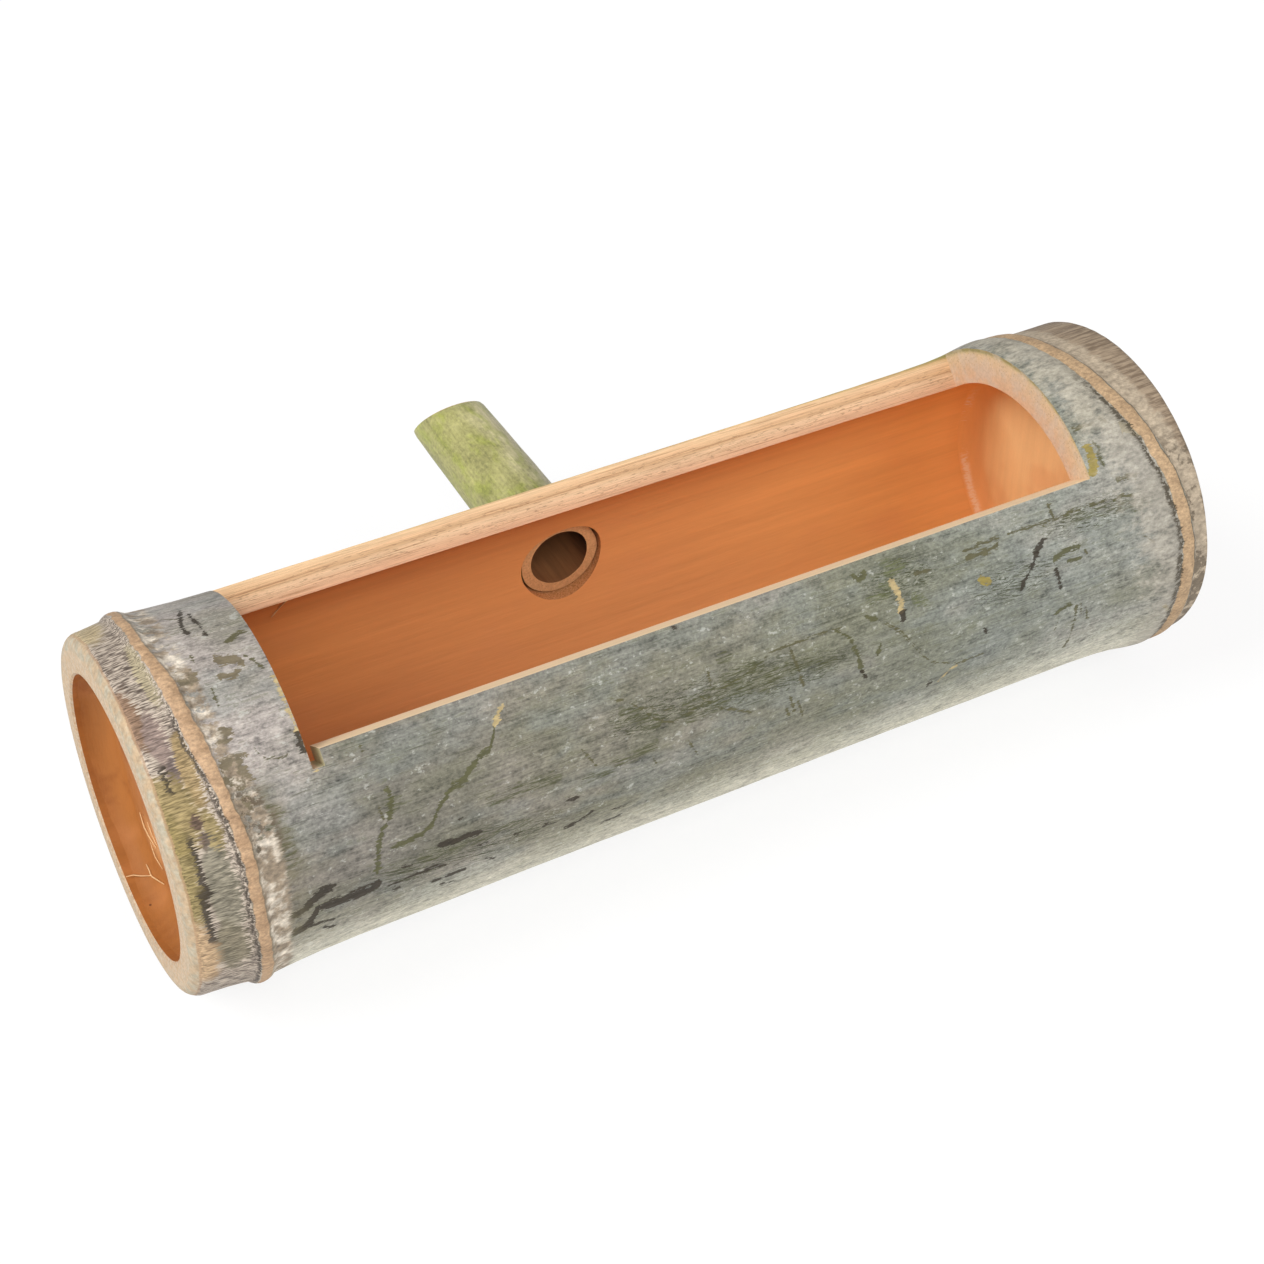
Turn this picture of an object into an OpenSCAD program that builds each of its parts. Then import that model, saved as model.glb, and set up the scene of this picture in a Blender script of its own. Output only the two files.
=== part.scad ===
// Bamboo fountain trough: a length of thick cane lying on its side, with a long
// window cut out of its upper side and a thin cane tube pushed through its back
// wall. X runs along the cane, with the tip of the plant towards -X. +Y points
// out along the tube and +Z is up. The origin is on the ground, under the middle
// of the cane.

/* [Cane] */
// Length of the cane along its axis
cane_length = 303; // [280:1:360]
// Outer radius of the bare cane half way along
cane_radius = 47.5; // [44:0.5:52]
// Growth of the outer radius from the left node to the right node
cane_taper = 0.8; // [0:0.1:1.5]
// Thickness of the wall along the window
wall = 8.5; // [6:0.5:11]
// Rounding of the left end's outer edge
end_round = 3.5; // [1:0.5:5]
// Lean of the right saw cut in degrees, with its foot further out
end_cut_lean_angle = 4.3; // [0:0.1:6]

/* [Left node] */
// Distance of the left node ring from the left end
left_ring_inset = 14.2; // [13:0.1:20]
// Height of the left ring above the bare cane
left_ring_rise = 2.5; // [1.5:0.1:4]
// Width of the left ring's crest
left_ring_width = 3.6; // [2:0.1:5]
// Lean of the left ring in degrees, with its foot further to the right
left_ring_lean_angle = 2.6; // [0:0.1:5]
// Swelling of the bare cane at the left node
left_swell = 1; // [0.2:0.1:1.4]

/* [Right node] */
// Distance of the right node ring from the right end
right_ring_inset = 13.2; // [13:0.1:20]
// Height of the right ring above the bare cane
right_ring_rise = 2.4; // [1.5:0.1:4]
// Width of the right ring's crest
right_ring_width = 3.6; // [2:0.1:5]
// Reach of the ridge beside the right ring, towards the tip
right_ridge_reach = 7.2; // [2:0.1:10]
// Lean of the right ring in degrees, with its foot further to the right
right_ring_lean_angle = 11.5; // [0:0.1:13]
// Turn of the right ring in degrees, with its front further to the right
right_ring_turn_angle = 6.4; // [0:0.1:8]
// Swelling of the bare cane at the right node
right_swell = 1; // [0.2:0.1:1.4]

/* [Septa] */
// Thickness of a septum
septum_t = 5; // [3:0.5:8]
// Distance of a septum from its node ring, towards the tip
septum_offset = 3.2; // [1:0.1:5]
// Lean of the right septum in degrees, with its foot further to the right
right_septum_lean_angle = 5.5; // [0:0.5:8]
// Radius of the fillet between a septum and the trough's wall
septum_fillet = 5; // [2:0.5:7]
// Height of the ledge behind a septum's rim
septum_ledge = 1.6; // [0.5:0.1:3]

/* [Window] */
// Distance of the window from the left end
window_left = 37.7; // [36:0.1:60]
// Distance of the window from the right end
window_right = 36.5; // [36:0.1:60]
// Angle in degrees from the window's middle to each long edge
window_half_angle = 44.6; // [30:0.1:60]
// Lean of the window's middle towards the tube in degrees
window_lean_angle = 2; // [-5:0.5:8]
// Turn of the front cut face in degrees from the radial direction
front_face_turn_angle = 17.3; // [0:0.1:25]
// Width of the saw's kerf
kerf_width = 3.1; // [1:0.1:5]
// Depth of the saw's overcut past the window's front edge
kerf_depth = 4.2; // [1:0.1:10]

/* [Outlet tube] */
// Place of the tube along the cane, from the middle
tube_x = -9.5; // [-60:0.5:60]
// Length of the tube along its axis
tube_length = 73; // [60:1:150]
// Outer radius of the tube at its inner end
tube_inner_end_r = 12.3; // [10.5:0.1:14]
// Outer radius of the tube at its outer end
tube_outer_end_r = 11.2; // [10:0.1:12.5]
// Radius of the tube's bore
tube_bore_r = 8.9; // [4:0.1:9.2]
// Slope of the tube's outer end in degrees from square, with its lower lip longer
tube_end_slope_angle = 35.8; // [0:0.1:45]
// Distance of the tube's inner end behind the trough's back wall
tube_recess = 1.1; // [0:0.1:3]
// Clearance between the tube and its hole, on the radius
tube_clearance = 0.4; // [0.1:0.1:1]

/* [Hidden] */
$fn = 128;
// The side of a cutting block, longer than the whole part
far = 600;
// How far a cut runs on past the surface that it opens
over = 30;

// Ends and nodes along the cane
left_end = -cane_length / 2;
right_end = cane_length / 2;
left_ring_x = left_end + left_ring_inset;
right_ring_x = right_end - right_ring_inset;
left_septum_x = left_ring_x - septum_offset;
right_septum_x = right_ring_x - septum_offset;

// The cane swells over these lengths towards its nodes
left_flare = 15;
right_flare = 17;
right_flare_start = 68;

// A ring steps down on both sides: how many steps, how low and how wide each is
ring_steps = 3;
step_drop = 0.5;
left_step_reach = 0.8;
right_step_reach = 2.2;

// Outer radius of the bare cane at a place along it, and of the two ring crests
function bare_r(x) = cane_radius + cane_taper * x / (right_ring_x - left_ring_x);
left_ring_r = bare_r(left_ring_x) + left_ring_rise;
right_ring_r = bare_r(right_ring_x) + right_ring_rise;

// The cane rests on the higher ring
axis_height = max(left_ring_r, right_ring_r);

// Radii of the trough between the septa and of the open cups beyond them
trough_r = cane_radius - wall;
cup_r = trough_r - septum_ledge;

// A septum's fillet ends in a blunt edge of this thickness at the trough's wall
fillet_edge = 0.4;
// The slack that a septum's rim is made with, before the trough's wall trims it
rim_slack = 2;

// The window's ends along the cane, and its long edges seen along the cane
window_x0 = left_end + window_left;
window_x1 = right_end - window_right;
front_angle = window_lean_angle - window_half_angle;
back_angle = window_lean_angle + window_half_angle;

// The tube's inner end from the cane's axis, and the radius of its hole
tube_y = trough_r + tube_recess;
hole_r = tube_inner_end_r + tube_clearance;
// The reach of the tube's lower lip past its axis length, and its change of radius
tube_lip = tube_outer_end_r * tan(tube_end_slope_angle) + 1;
tube_narrowing = (tube_inner_end_r - tube_outer_end_r) / tube_length;

// The direction in the YZ plane at an angle from straight up, towards the tube
function toward(angle) = [sin(angle), cos(angle)];

// A quarter circle from an end face at z round to the side at radius r
function rounded_edge(z, r, round_r) = [
    for (a = [0:10:90]) [r - round_r + round_r * sin(a), z + round_r * (1 - cos(a))]
];

// Lifts the cane's axis to its height above the ground
module on_the_ground() translate([0, 0, axis_height]) children();

// Lays a shape that stands on Z along the cane
module along_cane() rotate([0, 90, 0]) children();

// Lays a shape that stands on Z along the tube
module along_tube() rotate([-90, 0, 0]) children();

// Places a shape across the cane at x, in a plane that leans and turns
module across(x, lean = 0, turn = 0)
    translate([x, 0, 0]) rotate([0, -lean, 0]) rotate([0, 0, turn]) children();

// Everything from x0 to x1, across the whole cane
module block(x0, x1) translate([x0, -far / 2, -far / 2]) cube([x1 - x0, far, far]);

// A coaxial bore right through the cane
module bore(r) along_cane() cylinder(r = r, h = far, center = true);

// The bare cane, which swells a little towards its nodes
module bare_cane()
    along_cane() rotate_extrude() polygon(concat(
        [[0, left_end]],
        rounded_edge(left_end, bare_r(left_end), end_round),
        [
            [bare_r(left_ring_x) + left_swell, left_ring_x - left_ring_width],
            [bare_r(left_ring_x) + left_swell, left_ring_x + left_ring_width],
            [bare_r(left_ring_x + left_flare), left_ring_x + left_flare],
            [bare_r(right_ring_x - right_flare_start), right_ring_x - right_flare_start],
            [bare_r(right_ring_x) + right_swell, right_ring_x - right_flare],
            [bare_r(right_end) + right_swell, right_end + over],
            [0, right_end + over],
        ]
    ));

// A raised ring, from its reach towards the tip to its reach towards the base
module ring(x, crest_r, lean, turn, tip_reach, base_reach, step_reach)
    for (step = [0 : ring_steps - 1])
        intersection() {
            bore(crest_r - step * step_drop);
            across(x, lean, turn)
                block(-tip_reach - step * step_reach, base_reach + step * step_reach);
        }

module left_ring()
    ring(left_ring_x, left_ring_r, left_ring_lean_angle, 0,
        left_ring_width / 2, left_ring_width / 2, left_step_reach);

module right_ring()
    ring(right_ring_x, right_ring_r, right_ring_lean_angle, right_ring_turn_angle,
        right_ring_width / 2 + right_ridge_reach, right_ring_width / 2, right_step_reach);

// The space of the trough and both septa, which ends at the ledges behind the septa
module trough_space()
    difference() {
        bore(trough_r);
        across(left_septum_x) block(-far, -septum_t / 2);
        across(right_septum_x, right_septum_lean_angle) block(septum_t / 2, far);
    }

// The window from x0 to x1, with its front edge moved down by extra
module window(x0, x1, extra = 0) {
    back_edge = cane_radius * toward(back_angle);
    front_edge = cane_radius * toward(front_angle) + extra * toward(front_angle - 90);
    back_face = toward(back_angle);
    front_face = toward(front_angle - front_face_turn_angle);
    translate([x0, 0, 0]) rotate([90, 0, 90]) linear_extrude(x1 - x0) polygon([
        front_edge - 2 * wall * front_face,
        front_edge + over * front_face,
        front_edge + over * front_face + [0, over],
        back_edge + over * back_face + [0, over],
        back_edge + over * back_face,
        back_edge - 2 * wall * back_face,
    ]);
}

// The bored hole in the back wall
module tube_hole()
    translate([tube_x, 0, 0]) along_tube() cylinder(r = hole_r, h = far / 2);

module culm_wall()
    color([0.55, 0.57, 0.52]) on_the_ground() difference() {
        union() {
            bare_cane();
            left_ring();
            right_ring();
        }
        bore(cup_r);
        trough_space();
        across(right_end, end_cut_lean_angle) block(0, far);
        window(window_x0, window_x1);
        window(window_x0, window_x0 + kerf_width, kerf_depth);
        tube_hole();
    }

// Half of a septum's section: its disc and the hollow fillet on its trough side
module septum_section() {
    arc_x = trough_r - fillet_edge - septum_fillet;
    arc_y = septum_t / 2 + septum_fillet;
    difference() {
        translate([0, -septum_t / 2]) square([trough_r + rim_slack, septum_t + septum_fillet]);
        translate([0, septum_t / 2]) square([arc_x, septum_fillet + over]);
        translate([arc_x, arc_y]) circle(r = septum_fillet);
    }
}

// A septum at x, with its trough side towards +X unless it is flipped
module septum(x, lean = 0, flip = 0)
    color([0.84, 0.55, 0.32]) on_the_ground() intersection() {
        bore(trough_r);
        across(x, lean) rotate([0, flip, 0]) along_cane() rotate_extrude() septum_section();
    }

module left_septum() septum(left_septum_x);

module right_septum() septum(right_septum_x, right_septum_lean_angle, 180);

module outlet_tube()
    color([0.73, 0.74, 0.55]) on_the_ground()
        translate([tube_x, tube_y, 0]) along_tube() difference() {
            cylinder(
                r1 = tube_inner_end_r,
                r2 = tube_outer_end_r - tube_narrowing * tube_lip,
                h = tube_length + tube_lip
            );
            translate([0, 0, -over]) cylinder(r = tube_bore_r, h = tube_length + tube_lip + 2 * over);
            translate([0, 0, tube_length]) rotate([tube_end_slope_angle, 0, 0])
                translate([-far / 2, -far / 2, 0]) cube(far);
        }

culm_wall();
left_septum();
right_septum();
outlet_tube();
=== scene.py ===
"""Looks of the bamboo fountain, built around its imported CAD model.

The culm, its two septa and the outlet cane are meshes made here, in millimetres, and stored in
metres. X runs along the culm, theta is the angle from straight up towards the outlet cane, in
degrees, and the front of the culm has negative angles. Colours are written as sRGB bytes.
"""
import inspect
import math

import bmesh
import bpy
import numpy as np
from mathutils import Matrix, Vector


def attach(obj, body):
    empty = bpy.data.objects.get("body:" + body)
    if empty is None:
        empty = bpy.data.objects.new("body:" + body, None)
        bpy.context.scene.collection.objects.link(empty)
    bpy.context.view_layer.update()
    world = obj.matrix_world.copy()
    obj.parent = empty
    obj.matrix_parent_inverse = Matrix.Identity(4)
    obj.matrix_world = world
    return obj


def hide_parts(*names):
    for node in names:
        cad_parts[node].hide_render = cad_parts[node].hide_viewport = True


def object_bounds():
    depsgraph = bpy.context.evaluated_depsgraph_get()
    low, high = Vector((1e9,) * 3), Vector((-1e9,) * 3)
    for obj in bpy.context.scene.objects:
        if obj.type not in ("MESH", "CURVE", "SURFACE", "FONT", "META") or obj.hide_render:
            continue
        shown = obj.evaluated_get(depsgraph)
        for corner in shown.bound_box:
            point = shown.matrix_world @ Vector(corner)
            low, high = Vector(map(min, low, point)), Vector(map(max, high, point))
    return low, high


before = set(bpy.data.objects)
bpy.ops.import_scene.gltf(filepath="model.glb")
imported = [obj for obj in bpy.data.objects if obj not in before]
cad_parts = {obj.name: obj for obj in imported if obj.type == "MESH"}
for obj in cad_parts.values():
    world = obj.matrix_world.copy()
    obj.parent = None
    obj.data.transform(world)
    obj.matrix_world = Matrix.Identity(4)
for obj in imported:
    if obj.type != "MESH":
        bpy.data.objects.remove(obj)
cad_box = [list(corner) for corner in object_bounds()]

MM = 0.001
SEED = 7
AXIS_REACH = 400.0

# sizes of the object, in mm, as in the CAD model
AXIS_Z = 50.301
LEFT_END = -151.45
RIGHT_END = 151.45
BARE_R = 47.5
TAPER = 0.8 / 275.6
MAX_R = 50.25
END_ROUND = 3.5
CUP_R = 37.4
TROUGH_R = 39.0
RIGHT_CUT_LEAN = 0.0752
LEFT_RING_X = -137.3
LEFT_RING_LEAN = 0.0454
RIGHT_RING_X = 138.3
RIGHT_RING_LEAN = 0.2035
RIGHT_RING_TURN = 0.112
RING_NOMINAL_R = 48.5
WINDOW_X0 = -113.8
WINDOW_X1 = 115.0
KERF_X1 = -110.7
FRONT_EDGE = -42.6
BACK_EDGE = 46.6
FRONT_EDGE_INNER = -40.4
KERF_BOTTOM = -47.7
LEFT_SEPTUM_X = -140.5
RIGHT_SEPTUM_X = 135.1
RIGHT_SEPTUM_LEAN = 0.0963
SEPTUM_HALF = 2.5
TUBE_X = -9.5
TUBE_Y0 = 40.1
TUBE_Y1 = 112.95
TUBE_R0 = 12.3
TUBE_R1 = 11.2
TUBE_BORE = 8.9
TUBE_SLOPE = math.tan(math.radians(35.8))
HOLE_R = 12.7

# places where the culm's rows change their pitch or step, in mm
LEFT_FINE_END = -128
RIGHT_FINE_START = 144.5
LEFT_CUP_STEP = (-142.95, -143.05)
RIGHT_CUP_STEP = (137.65, 137.55)
RIGHT_EDGE_ROUND = 0.6
# Places along the culm between which the lean of a ring or of the right septum comes and goes
LEFT_LEAN_PLACES = (LEFT_END, -141, -131, WINDOW_X0)
RIGHT_LEAN_PLACES = (WINDOW_X1, 129.3, 141.5, RIGHT_END)
SEPTUM_LEAN_PLACES = (WINDOW_X1, 133, 138, RIGHT_END)
# How far beyond the window its front edge still shapes the inside, the steps from the skin to the
# lining on its cut faces, and the radius at which the skin's noise is read
WINDOW_REACH = 12
DEPTH_STEPS = 9
NOISE_R = 48

# stage, light and camera
FLOOR_HALF = 6.0
FLOOR_PLAIN_SHARE = 0.8
FLOOR_SHADOW_REACH = 1.6
FLOOR_LEVEL = [0.8, 0.8, 0.8, 1]
WHITE = [1, 1, 1, 1]
SKY_STRENGTH = 0.42
LAMPS = (
    ("softbox_end", (-2.4, 0.2, 2.4), 2.0, 75.0),
    ("softbox_left", (-1.3, -2.4, 2.3), 2.4, 48.0),
    ("softbox_right", (1.3, -2.4, 2.2), 2.4, 36.0),
)
CAMERA_PLACE = (-0.231736, -0.375445, 0.450283)
CAMERA_RIGHT = (0.87406, -0.48465, 0.03357)
CAMERA_DOWN = (-0.30436, -0.60016, -0.73971)
CAMERA_FORWARD = (0.37865, 0.63633, -0.67209)
CAMERA_LENS = 62.23
SENSOR_WIDTH = 36.0

# Edges of the light scar band at each node: angle, its tip side, its base side and, at the left,
# the far edge of the waxy zone beside it, as distances along the culm from the ring's plane
LEFT_SCAR = (
    (-180, 1.2, 4.6, 9.0), (-100, 1.3, 4.8, 9.6), (-85, 1.4, 4.9, 10.5), (-77, 1.5, 4.9, 11.3),
    (-66, 2.2, 5.6, 11.8), (-57, 2.2, 5.8, 11.7), (-49, 1.6, 4.9, 10.6), (-41, 1.1, 4.6, 9.0),
    (-36, 0.4, 4.6, 8.0), (-29, -0.5, 4.2, 7.9), (-21, -0.3, 3.9, 8.5), (-10, -0.8, 3.4, 7.3),
    (3, -1.4, 1.6, 7.6), (25, -1.7, 1.3, 7.2), (60, -1.0, 2.4, 7.0), (120, 0.2, 3.8, 8.0),
    (180, 1.2, 4.6, 9.0),
)
RIGHT_SCAR = (
    (-180, -3.5, 1.6), (-128, -3.8, 1.8), (-108, -4.6, 2.2), (-94, -3.5, 2.2), (-83, -2.1, 3.2),
    (-73, -0.1, 4.5), (-65, 0.4, 4.9), (-57, 0.8, 5.7), (-49, 1.2, 6.1), (-42, 0.8, 5.6), (-36, 1.1, 5.6),
    (-31, 0.5, 5.8), (-26, -0.2, 5.8), (-20, -0.8, 4.8), (10, -1.6, 3.4), (60, -2.0, 2.6),
    (120, -2.4, 2.2), (180, -3.5, 1.6),
)

# Radial relief over the bare culm, by distance from the middle of the scar band
LEFT_RELIEF = (
    (-16, 0.0), (-9, 0.3), (-5, 0.75), (-2.9, 1.05), (-2.1, 1.95), (-1.0, 2.4), (0.6, 2.4),
    (1.8, 2.0), (2.8, 1.25), (5, 1.0), (9, 0.7), (16, 0.3), (27, 0.0),
)
RIGHT_RELIEF = (
    (-48, 0.0), (-30, 0.12), (-20, 0.5), (-14, 1.05), (-10, 1.7), (-7, 2.15), (-5, 2.28),
    (-3.4, 2.1), (-2.8, 1.7), (-2.2, 1.75), (-1.2, 2.05), (1.4, 1.95), (2.4, 1.55),
    (3.2, 0.95), (6, 0.8), (12, 0.85), (22, 0.85),
)

# Marks on the skin, in the order in which they are painted: a kind and its marks, each with its half
# width in mm and then the places along in mm and the angles in degrees of its points, by turns
MARKS = (
    ("olive", (0.9, -65.1, -46.5, -65.2, -49.3, -68.0, -51.7, -68.8, -54.9, -70.9, -59.7, -74.1, -60.5,
       -77.4, -63.4, -78.8, -65.8, -82.5, -66.3, -84.1, -68.6, -87.1, -71.8, -88.8, -75.8, -92.1, -78.2,
       -97.0, -79.0, -100.0, -79.1)),
    ("gold", (1.0, -64.7, -48.4, -66.4, -50.2, -68.1, -53.1),
     (0.5, -114.2, -18.0, -114.3, -28.0, -114.2, -38.0, -114.4, -48.0, -113.0, -48.2)),
    ("olive", (0.8, -98.0, -59.6, -97.7, -64.0, -99.3, -69.2, -101.5, -71.9, -103.0, -76.7, -103.8, -81.3,
       -104.5, -86.4)),
    ("smear", (2.2, -97.9, -63.2, -97.4, -67.0)),
    ("scratch", (0.35, -101.1, -64.6, -100.5, -69.4)),
    ("flake", (1.7, -127.0, -90.4, -124.0, -89.8, -120.9, -86.9, -118.4, -85.1, -115.4, -84.6),
     (1.8, -126.7, -97.8, -123.7, -97.1, -121.3, -94.8, -120.0, -90.9),
     (1.5, -119.1, -91.5, -114.7, -91.9, -109.9, -91.9, -106.3, -91.7, -103.9, -90.7),
     (0.7, -124.9, -96.8, -121.3, -98.3, -118.4, -98.4, -116.0, -99.5),
     (0.8, -118.9, -101.5, -115.9, -103.6),
     (0.55, -102.4, -93.7, -98.5, -93.7, -93.6, -93.2, -90.5, -93.1, -86.2, -93.8),
     (0.6, -92.0, -92.6, -88.7, -92.7), (0.5, -100.9, -96.5, -98.5, -96.5),
     (0.8, -90.1, -99.8, -86.6, -99.9, -82.9, -99.7, -81.0, -99.9), (0.5, -87.7, -103.0, -83.2, -104.9),
     (0.5, -98.3, -87.7, -95.3, -88.1), (1.3, -88.1, -84.3, -83.5, -85.5, -79.8, -84.8, -76.7, -85.1),
     (0.5, -82.3, -77.8, -81.1, -77.6), (0.6, -77.5, -91.0, -74.9, -91.0),
     (0.6, -68.0, -92.2, -65.8, -92.1), (0.5, -59.7, -92.7, -56.1, -93.4),
     (0.6, -53.9, -98.3, -50.3, -97.7, -45.6, -94.6), (0.6, -42.4, -104.4, -37.9, -103.1, -34.0, -102.1),
     (0.5, -39.8, -97.9, -35.7, -98.3), (0.5, -76.1, -98.0, -72.8, -99.8),
     (0.7, -52.9, -85.7, -49.7, -86.1)),
    ("smear", (2.0, -74.0, -74.9, -70.4, -75.9, -67.1, -75.0, -59.0, -75.6, -54.6, -76.1),
     (1.2, -79.3, -88.4, -74.3, -87.9, -68.6, -87.8, -63.5, -87.9),
     (1.3, -93.4, -87.3, -86.1, -88.7, -81.1, -87.8)),
    ("scratch", (0.35, -38.0, -57.2, -33.4, -59.8, -30.2, -63.4, -26.4, -68.8, -21.5, -71.7, -17.3, -70.4,
       -13.2, -69.0, -8.8, -67.0, -3.2, -65.5, 3.2, -63.5, 9.2, -60.6, 14.1, -60.7, 21.0, -60.7,
       26.0, -60.4, 30.1, -61.2), (0.3, -30.2, -63.4, -24.7, -65.8, -18.4, -68.4, -14.3, -67.8)),
    ("smear", (3.2, -18.6, -69.8, -11.9, -69.6, -6.4, -68.8, 1.3, -67.3, 8.6, -69.6),
     (2.2, -7.3, -65.3, 1.8, -63.7, 5.3, -63.6), (2.5, -35.3, -62.8, -30.8, -66.9, -25.9, -69.8),
     (1.8, 6.0, -68.5, 16.3, -68.9, 26.7, -70.8)),
    ("scratch", (0.35, -14.0, -65.6, -8.8, -72.5, 0.4, -77.9),
     (0.6, 13.9, -61.4, 14.8, -66.7, 16.5, -75.5), (0.5, 12.2, -77.4, 13.6, -83.8),
     (0.35, 11.1, -81.6, 11.9, -84.8), (0.4, 14.6, -80.6, 16.2, -87.0)),
    ("olive", (0.7, 28.0, -61.2, 31.6, -64.9, 33.7, -73.0, 34.9, -80.3)),
    ("scratch", (0.3, 42.5, -63.8, 47.0, -68.7, 50.3, -74.2, 53.0, -77.9)),
    ("smear", (1.6, -48.4, -80.6, -43.2, -80.2, -37.9, -78.9, -33.3, -78.6, -27.2, -76.5)),
    ("scratch", (0.3, -47.6, -69.6, -44.3, -76.7), (0.35, -10.0, -58.2, -10.1, -64.2)),
    ("smear", (2.0, -6.5, -57.4, -3.1, -57.3)),
    ("scratch", (0.35, -18.1, -80.0, -15.4, -86.8), (0.4, -28.5, -81.0, -27.5, -84.2)),
    ("moss", (3.2, 47.4, -45.9, 49.6, -48.2, 48.2, -50.7), (2.4, 43.0, -54.0, 45.8, -54.3),
     (2.0, 40.2, -56.8, 39.9, -55.1), (2.0, 52.5, -60.7, 53.7, -61.9)),
    ("gold", (1.0, 47.1, -51.8, 48.3, -56.0, 48.9, -60.1, 48.1, -62.9)),
    ("flake", (1.0, 48.9, -62.8, 48.2, -66.0)),
    ("olive", (1.0, 36.5, -46.3, 38.0, -48.4, 40.5, -47.1), (0.9, 37.4, -60.3, 40.6, -62.3, 40.6, -58.4),
     (0.7, 39.4, -74.6, 40.7, -71.0)),
    ("flake", (0.7, 34.2, -77.8, 36.0, -81.7), (0.7, -16.0, -43.1, -15.1, -43.6)),
    ("scratch", (0.6, 70.5, -51.1, 77.4, -50.6, 81.9, -50.7),
     (0.8, 70.7, -53.5, 75.1, -53.6, 81.3, -53.1), (0.5, 85.0, -50.3, 92.5, -51.0, 100.2, -51.0,
       108.0, -50.7, 115.9, -50.8, 122.9, -51.3, 126.5, -52.6)),
    ("smear", (1.6, 104.4, -52.6, 115.2, -53.3, 123.8, -54.0, 130.5, -56.3)),
    ("scratch", (0.7, 122.2, -45.5, 129.2, -46.0), (0.6, 99.7, -45.8, 100.2, -50.7),
     (0.7, 54.4, -52.4, 59.6, -53.2)),
    ("flake", (1.4, 95.1, -56.2, 92.9, -59.3), (0.9, 92.9, -59.3, 89.8, -64.5, 87.2, -67.5, 86.3, -70.0),
     (0.7, 98.1, -67.2, 98.9, -72.1, 99.3, -74.8)),
    ("olive", (1.0, 97.7, -63.5, 101.0, -62.3, 106.4, -62.3), (0.8, 102.1, -65.9, 106.7, -66.5)),
    ("scratch", (0.35, 108.1, -64.2, 109.7, -68.8),
     (0.5, 105.3, -83.6, 105.6, -95.0, 105.5, -100.9, 104.8, -103.7), (0.35, 106.8, -83.3, 107.5, -88.5),
     (0.35, 108.8, -86.1, 110.1, -91.9)),
    ("olive", (0.9, 98.2, -84.2, 100.4, -82.4, 103.6, -82.9)),
    ("scratch", (0.3, 98.9, -91.5, 99.7, -86.8),
     (0.3, 42.2, -64.3, 46.7, -69.2, 50.0, -74.7, 53.7, -80.6, 56.9, -84.9, 65.7, -89.7, 74.8, -89.7)),
    ("gold", (0.6, 60.4, -94.9, 63.0, -91.9, 65.8, -90.8)),
    ("flake", (0.9, 56.3, -94.8, 58.0, -94.1), (0.7, 73.9, -78.9, 74.8, -81.5)),
    ("mustard", (2.2, 129.9, -30.0, 132.0, -32.5, 134.4, -33.4)),
    ("scratch", (0.6, 116.0, -25.2, 122.4, -25.8)),
    ("olive", (0.6, 120.2, -31.4, 120.9, -34.0, 120.0, -36.8, 120.4, -40.0)),
    ("mustard", (1.5, 117.6, -31.9, 118.2, -33.0, 117.5, -36.5, 117.1, -39.7, 116.0, -41.7),
     (1.6, 73.6, -61.5, 76.3, -63.3)),
    ("olive", (1.0, 125.2, -25.1, 125.9, -26.7)),
    ("scratch", (0.3, 126.0, -64.3, 130.5, -69.3)),
    ("mustard", (1.2, 137.1, -97.0, 142.2, -102.3)),
    ("moss", (1.6, 53.0, -60.7, 56.3, -62.7)),
    ("flake", (0.6, -125.4, 22.6, -128.1, 10.5, -127.6, 6.1),
     (0.6, -124.5, 18.1, -124.1, 10.2, -123.8, 3.5)),
    ("scratch", (0.4, -130.9, 19.1, -126.6, 15.6), (0.9, -120.9, -1.7, -118.1, -0.2, -115.5, 0.5)),
    ("mud", (1.8, -125.0, -7.3, -121.8, -8.0, -119.6, -10.1),
     (1.2, -126.2, -12.9, -123.8, -14.1, -121.1, -12.8)),
    ("scratch", (0.4, -130.1, -2.0, -129.8, -5.6), (0.45, -118.4, -8.0, -116.7, -11.6, -115.5, -14.8),
     (0.35, -128.9, -15.7, -129.2, -21.9)),
    ("mud", (2.4, -133.0, -7.6, -133.7, -13.4), (2.2, -130.6, -28.6, -130.9, -32.4)),
    ("scratch", (0.3, -125.1, -37.2, -123.3, -40.7, -120.1, -41.4, -117.7, -41.0)),
    ("flake", (0.9, -114.3, -36.3, -114.5, -39.6, -114.2, -42.5)),
    ("mud", (3.4, -131.1, -36.8, -131.6, -42.0, -131.0, -45.6), (2.0, -131.3, -48.8, -131.3, -52.9)),
    ("smear", (3.0, -126.9, -53.4, -126.3, -60.6, -125.9, -66.5, -125.2, -72.1)),
    ("scratch", (0.4, -101.2, -45.8, -101.2, -47.9)),
)
KIND_COLOURS = {
    "scratch": (84, 80, 54),
    "olive": (80, 79, 50),
    "moss": (88, 92, 56),
    "flake": (50, 42, 32),
    "mud": (112, 101, 78),
    "mustard": (142, 126, 62),
    "gold": (176, 156, 112),
    "smear": (72, 73, 44),
}
KINDS = tuple(KIND_COLOURS)
SOFT_KINDS = ("smear", "moss")
# How marks are stored in a node table: reaches in mm and degrees, the widest mark, the least gap
# between two marks of a track, and how far a mark runs out
MARK_X = (-136.0, 146.0)
MARK_THETA = (-108.0, 30.0)
MARK_WIDEST = 5.0
MARK_GAP = 3.2
MARK_RUN_OUT = 1.2
MM_PER_DEGREE = 0.829
SCAR_LOW, SCAR_HIGH = -6.0, 18.0

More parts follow.
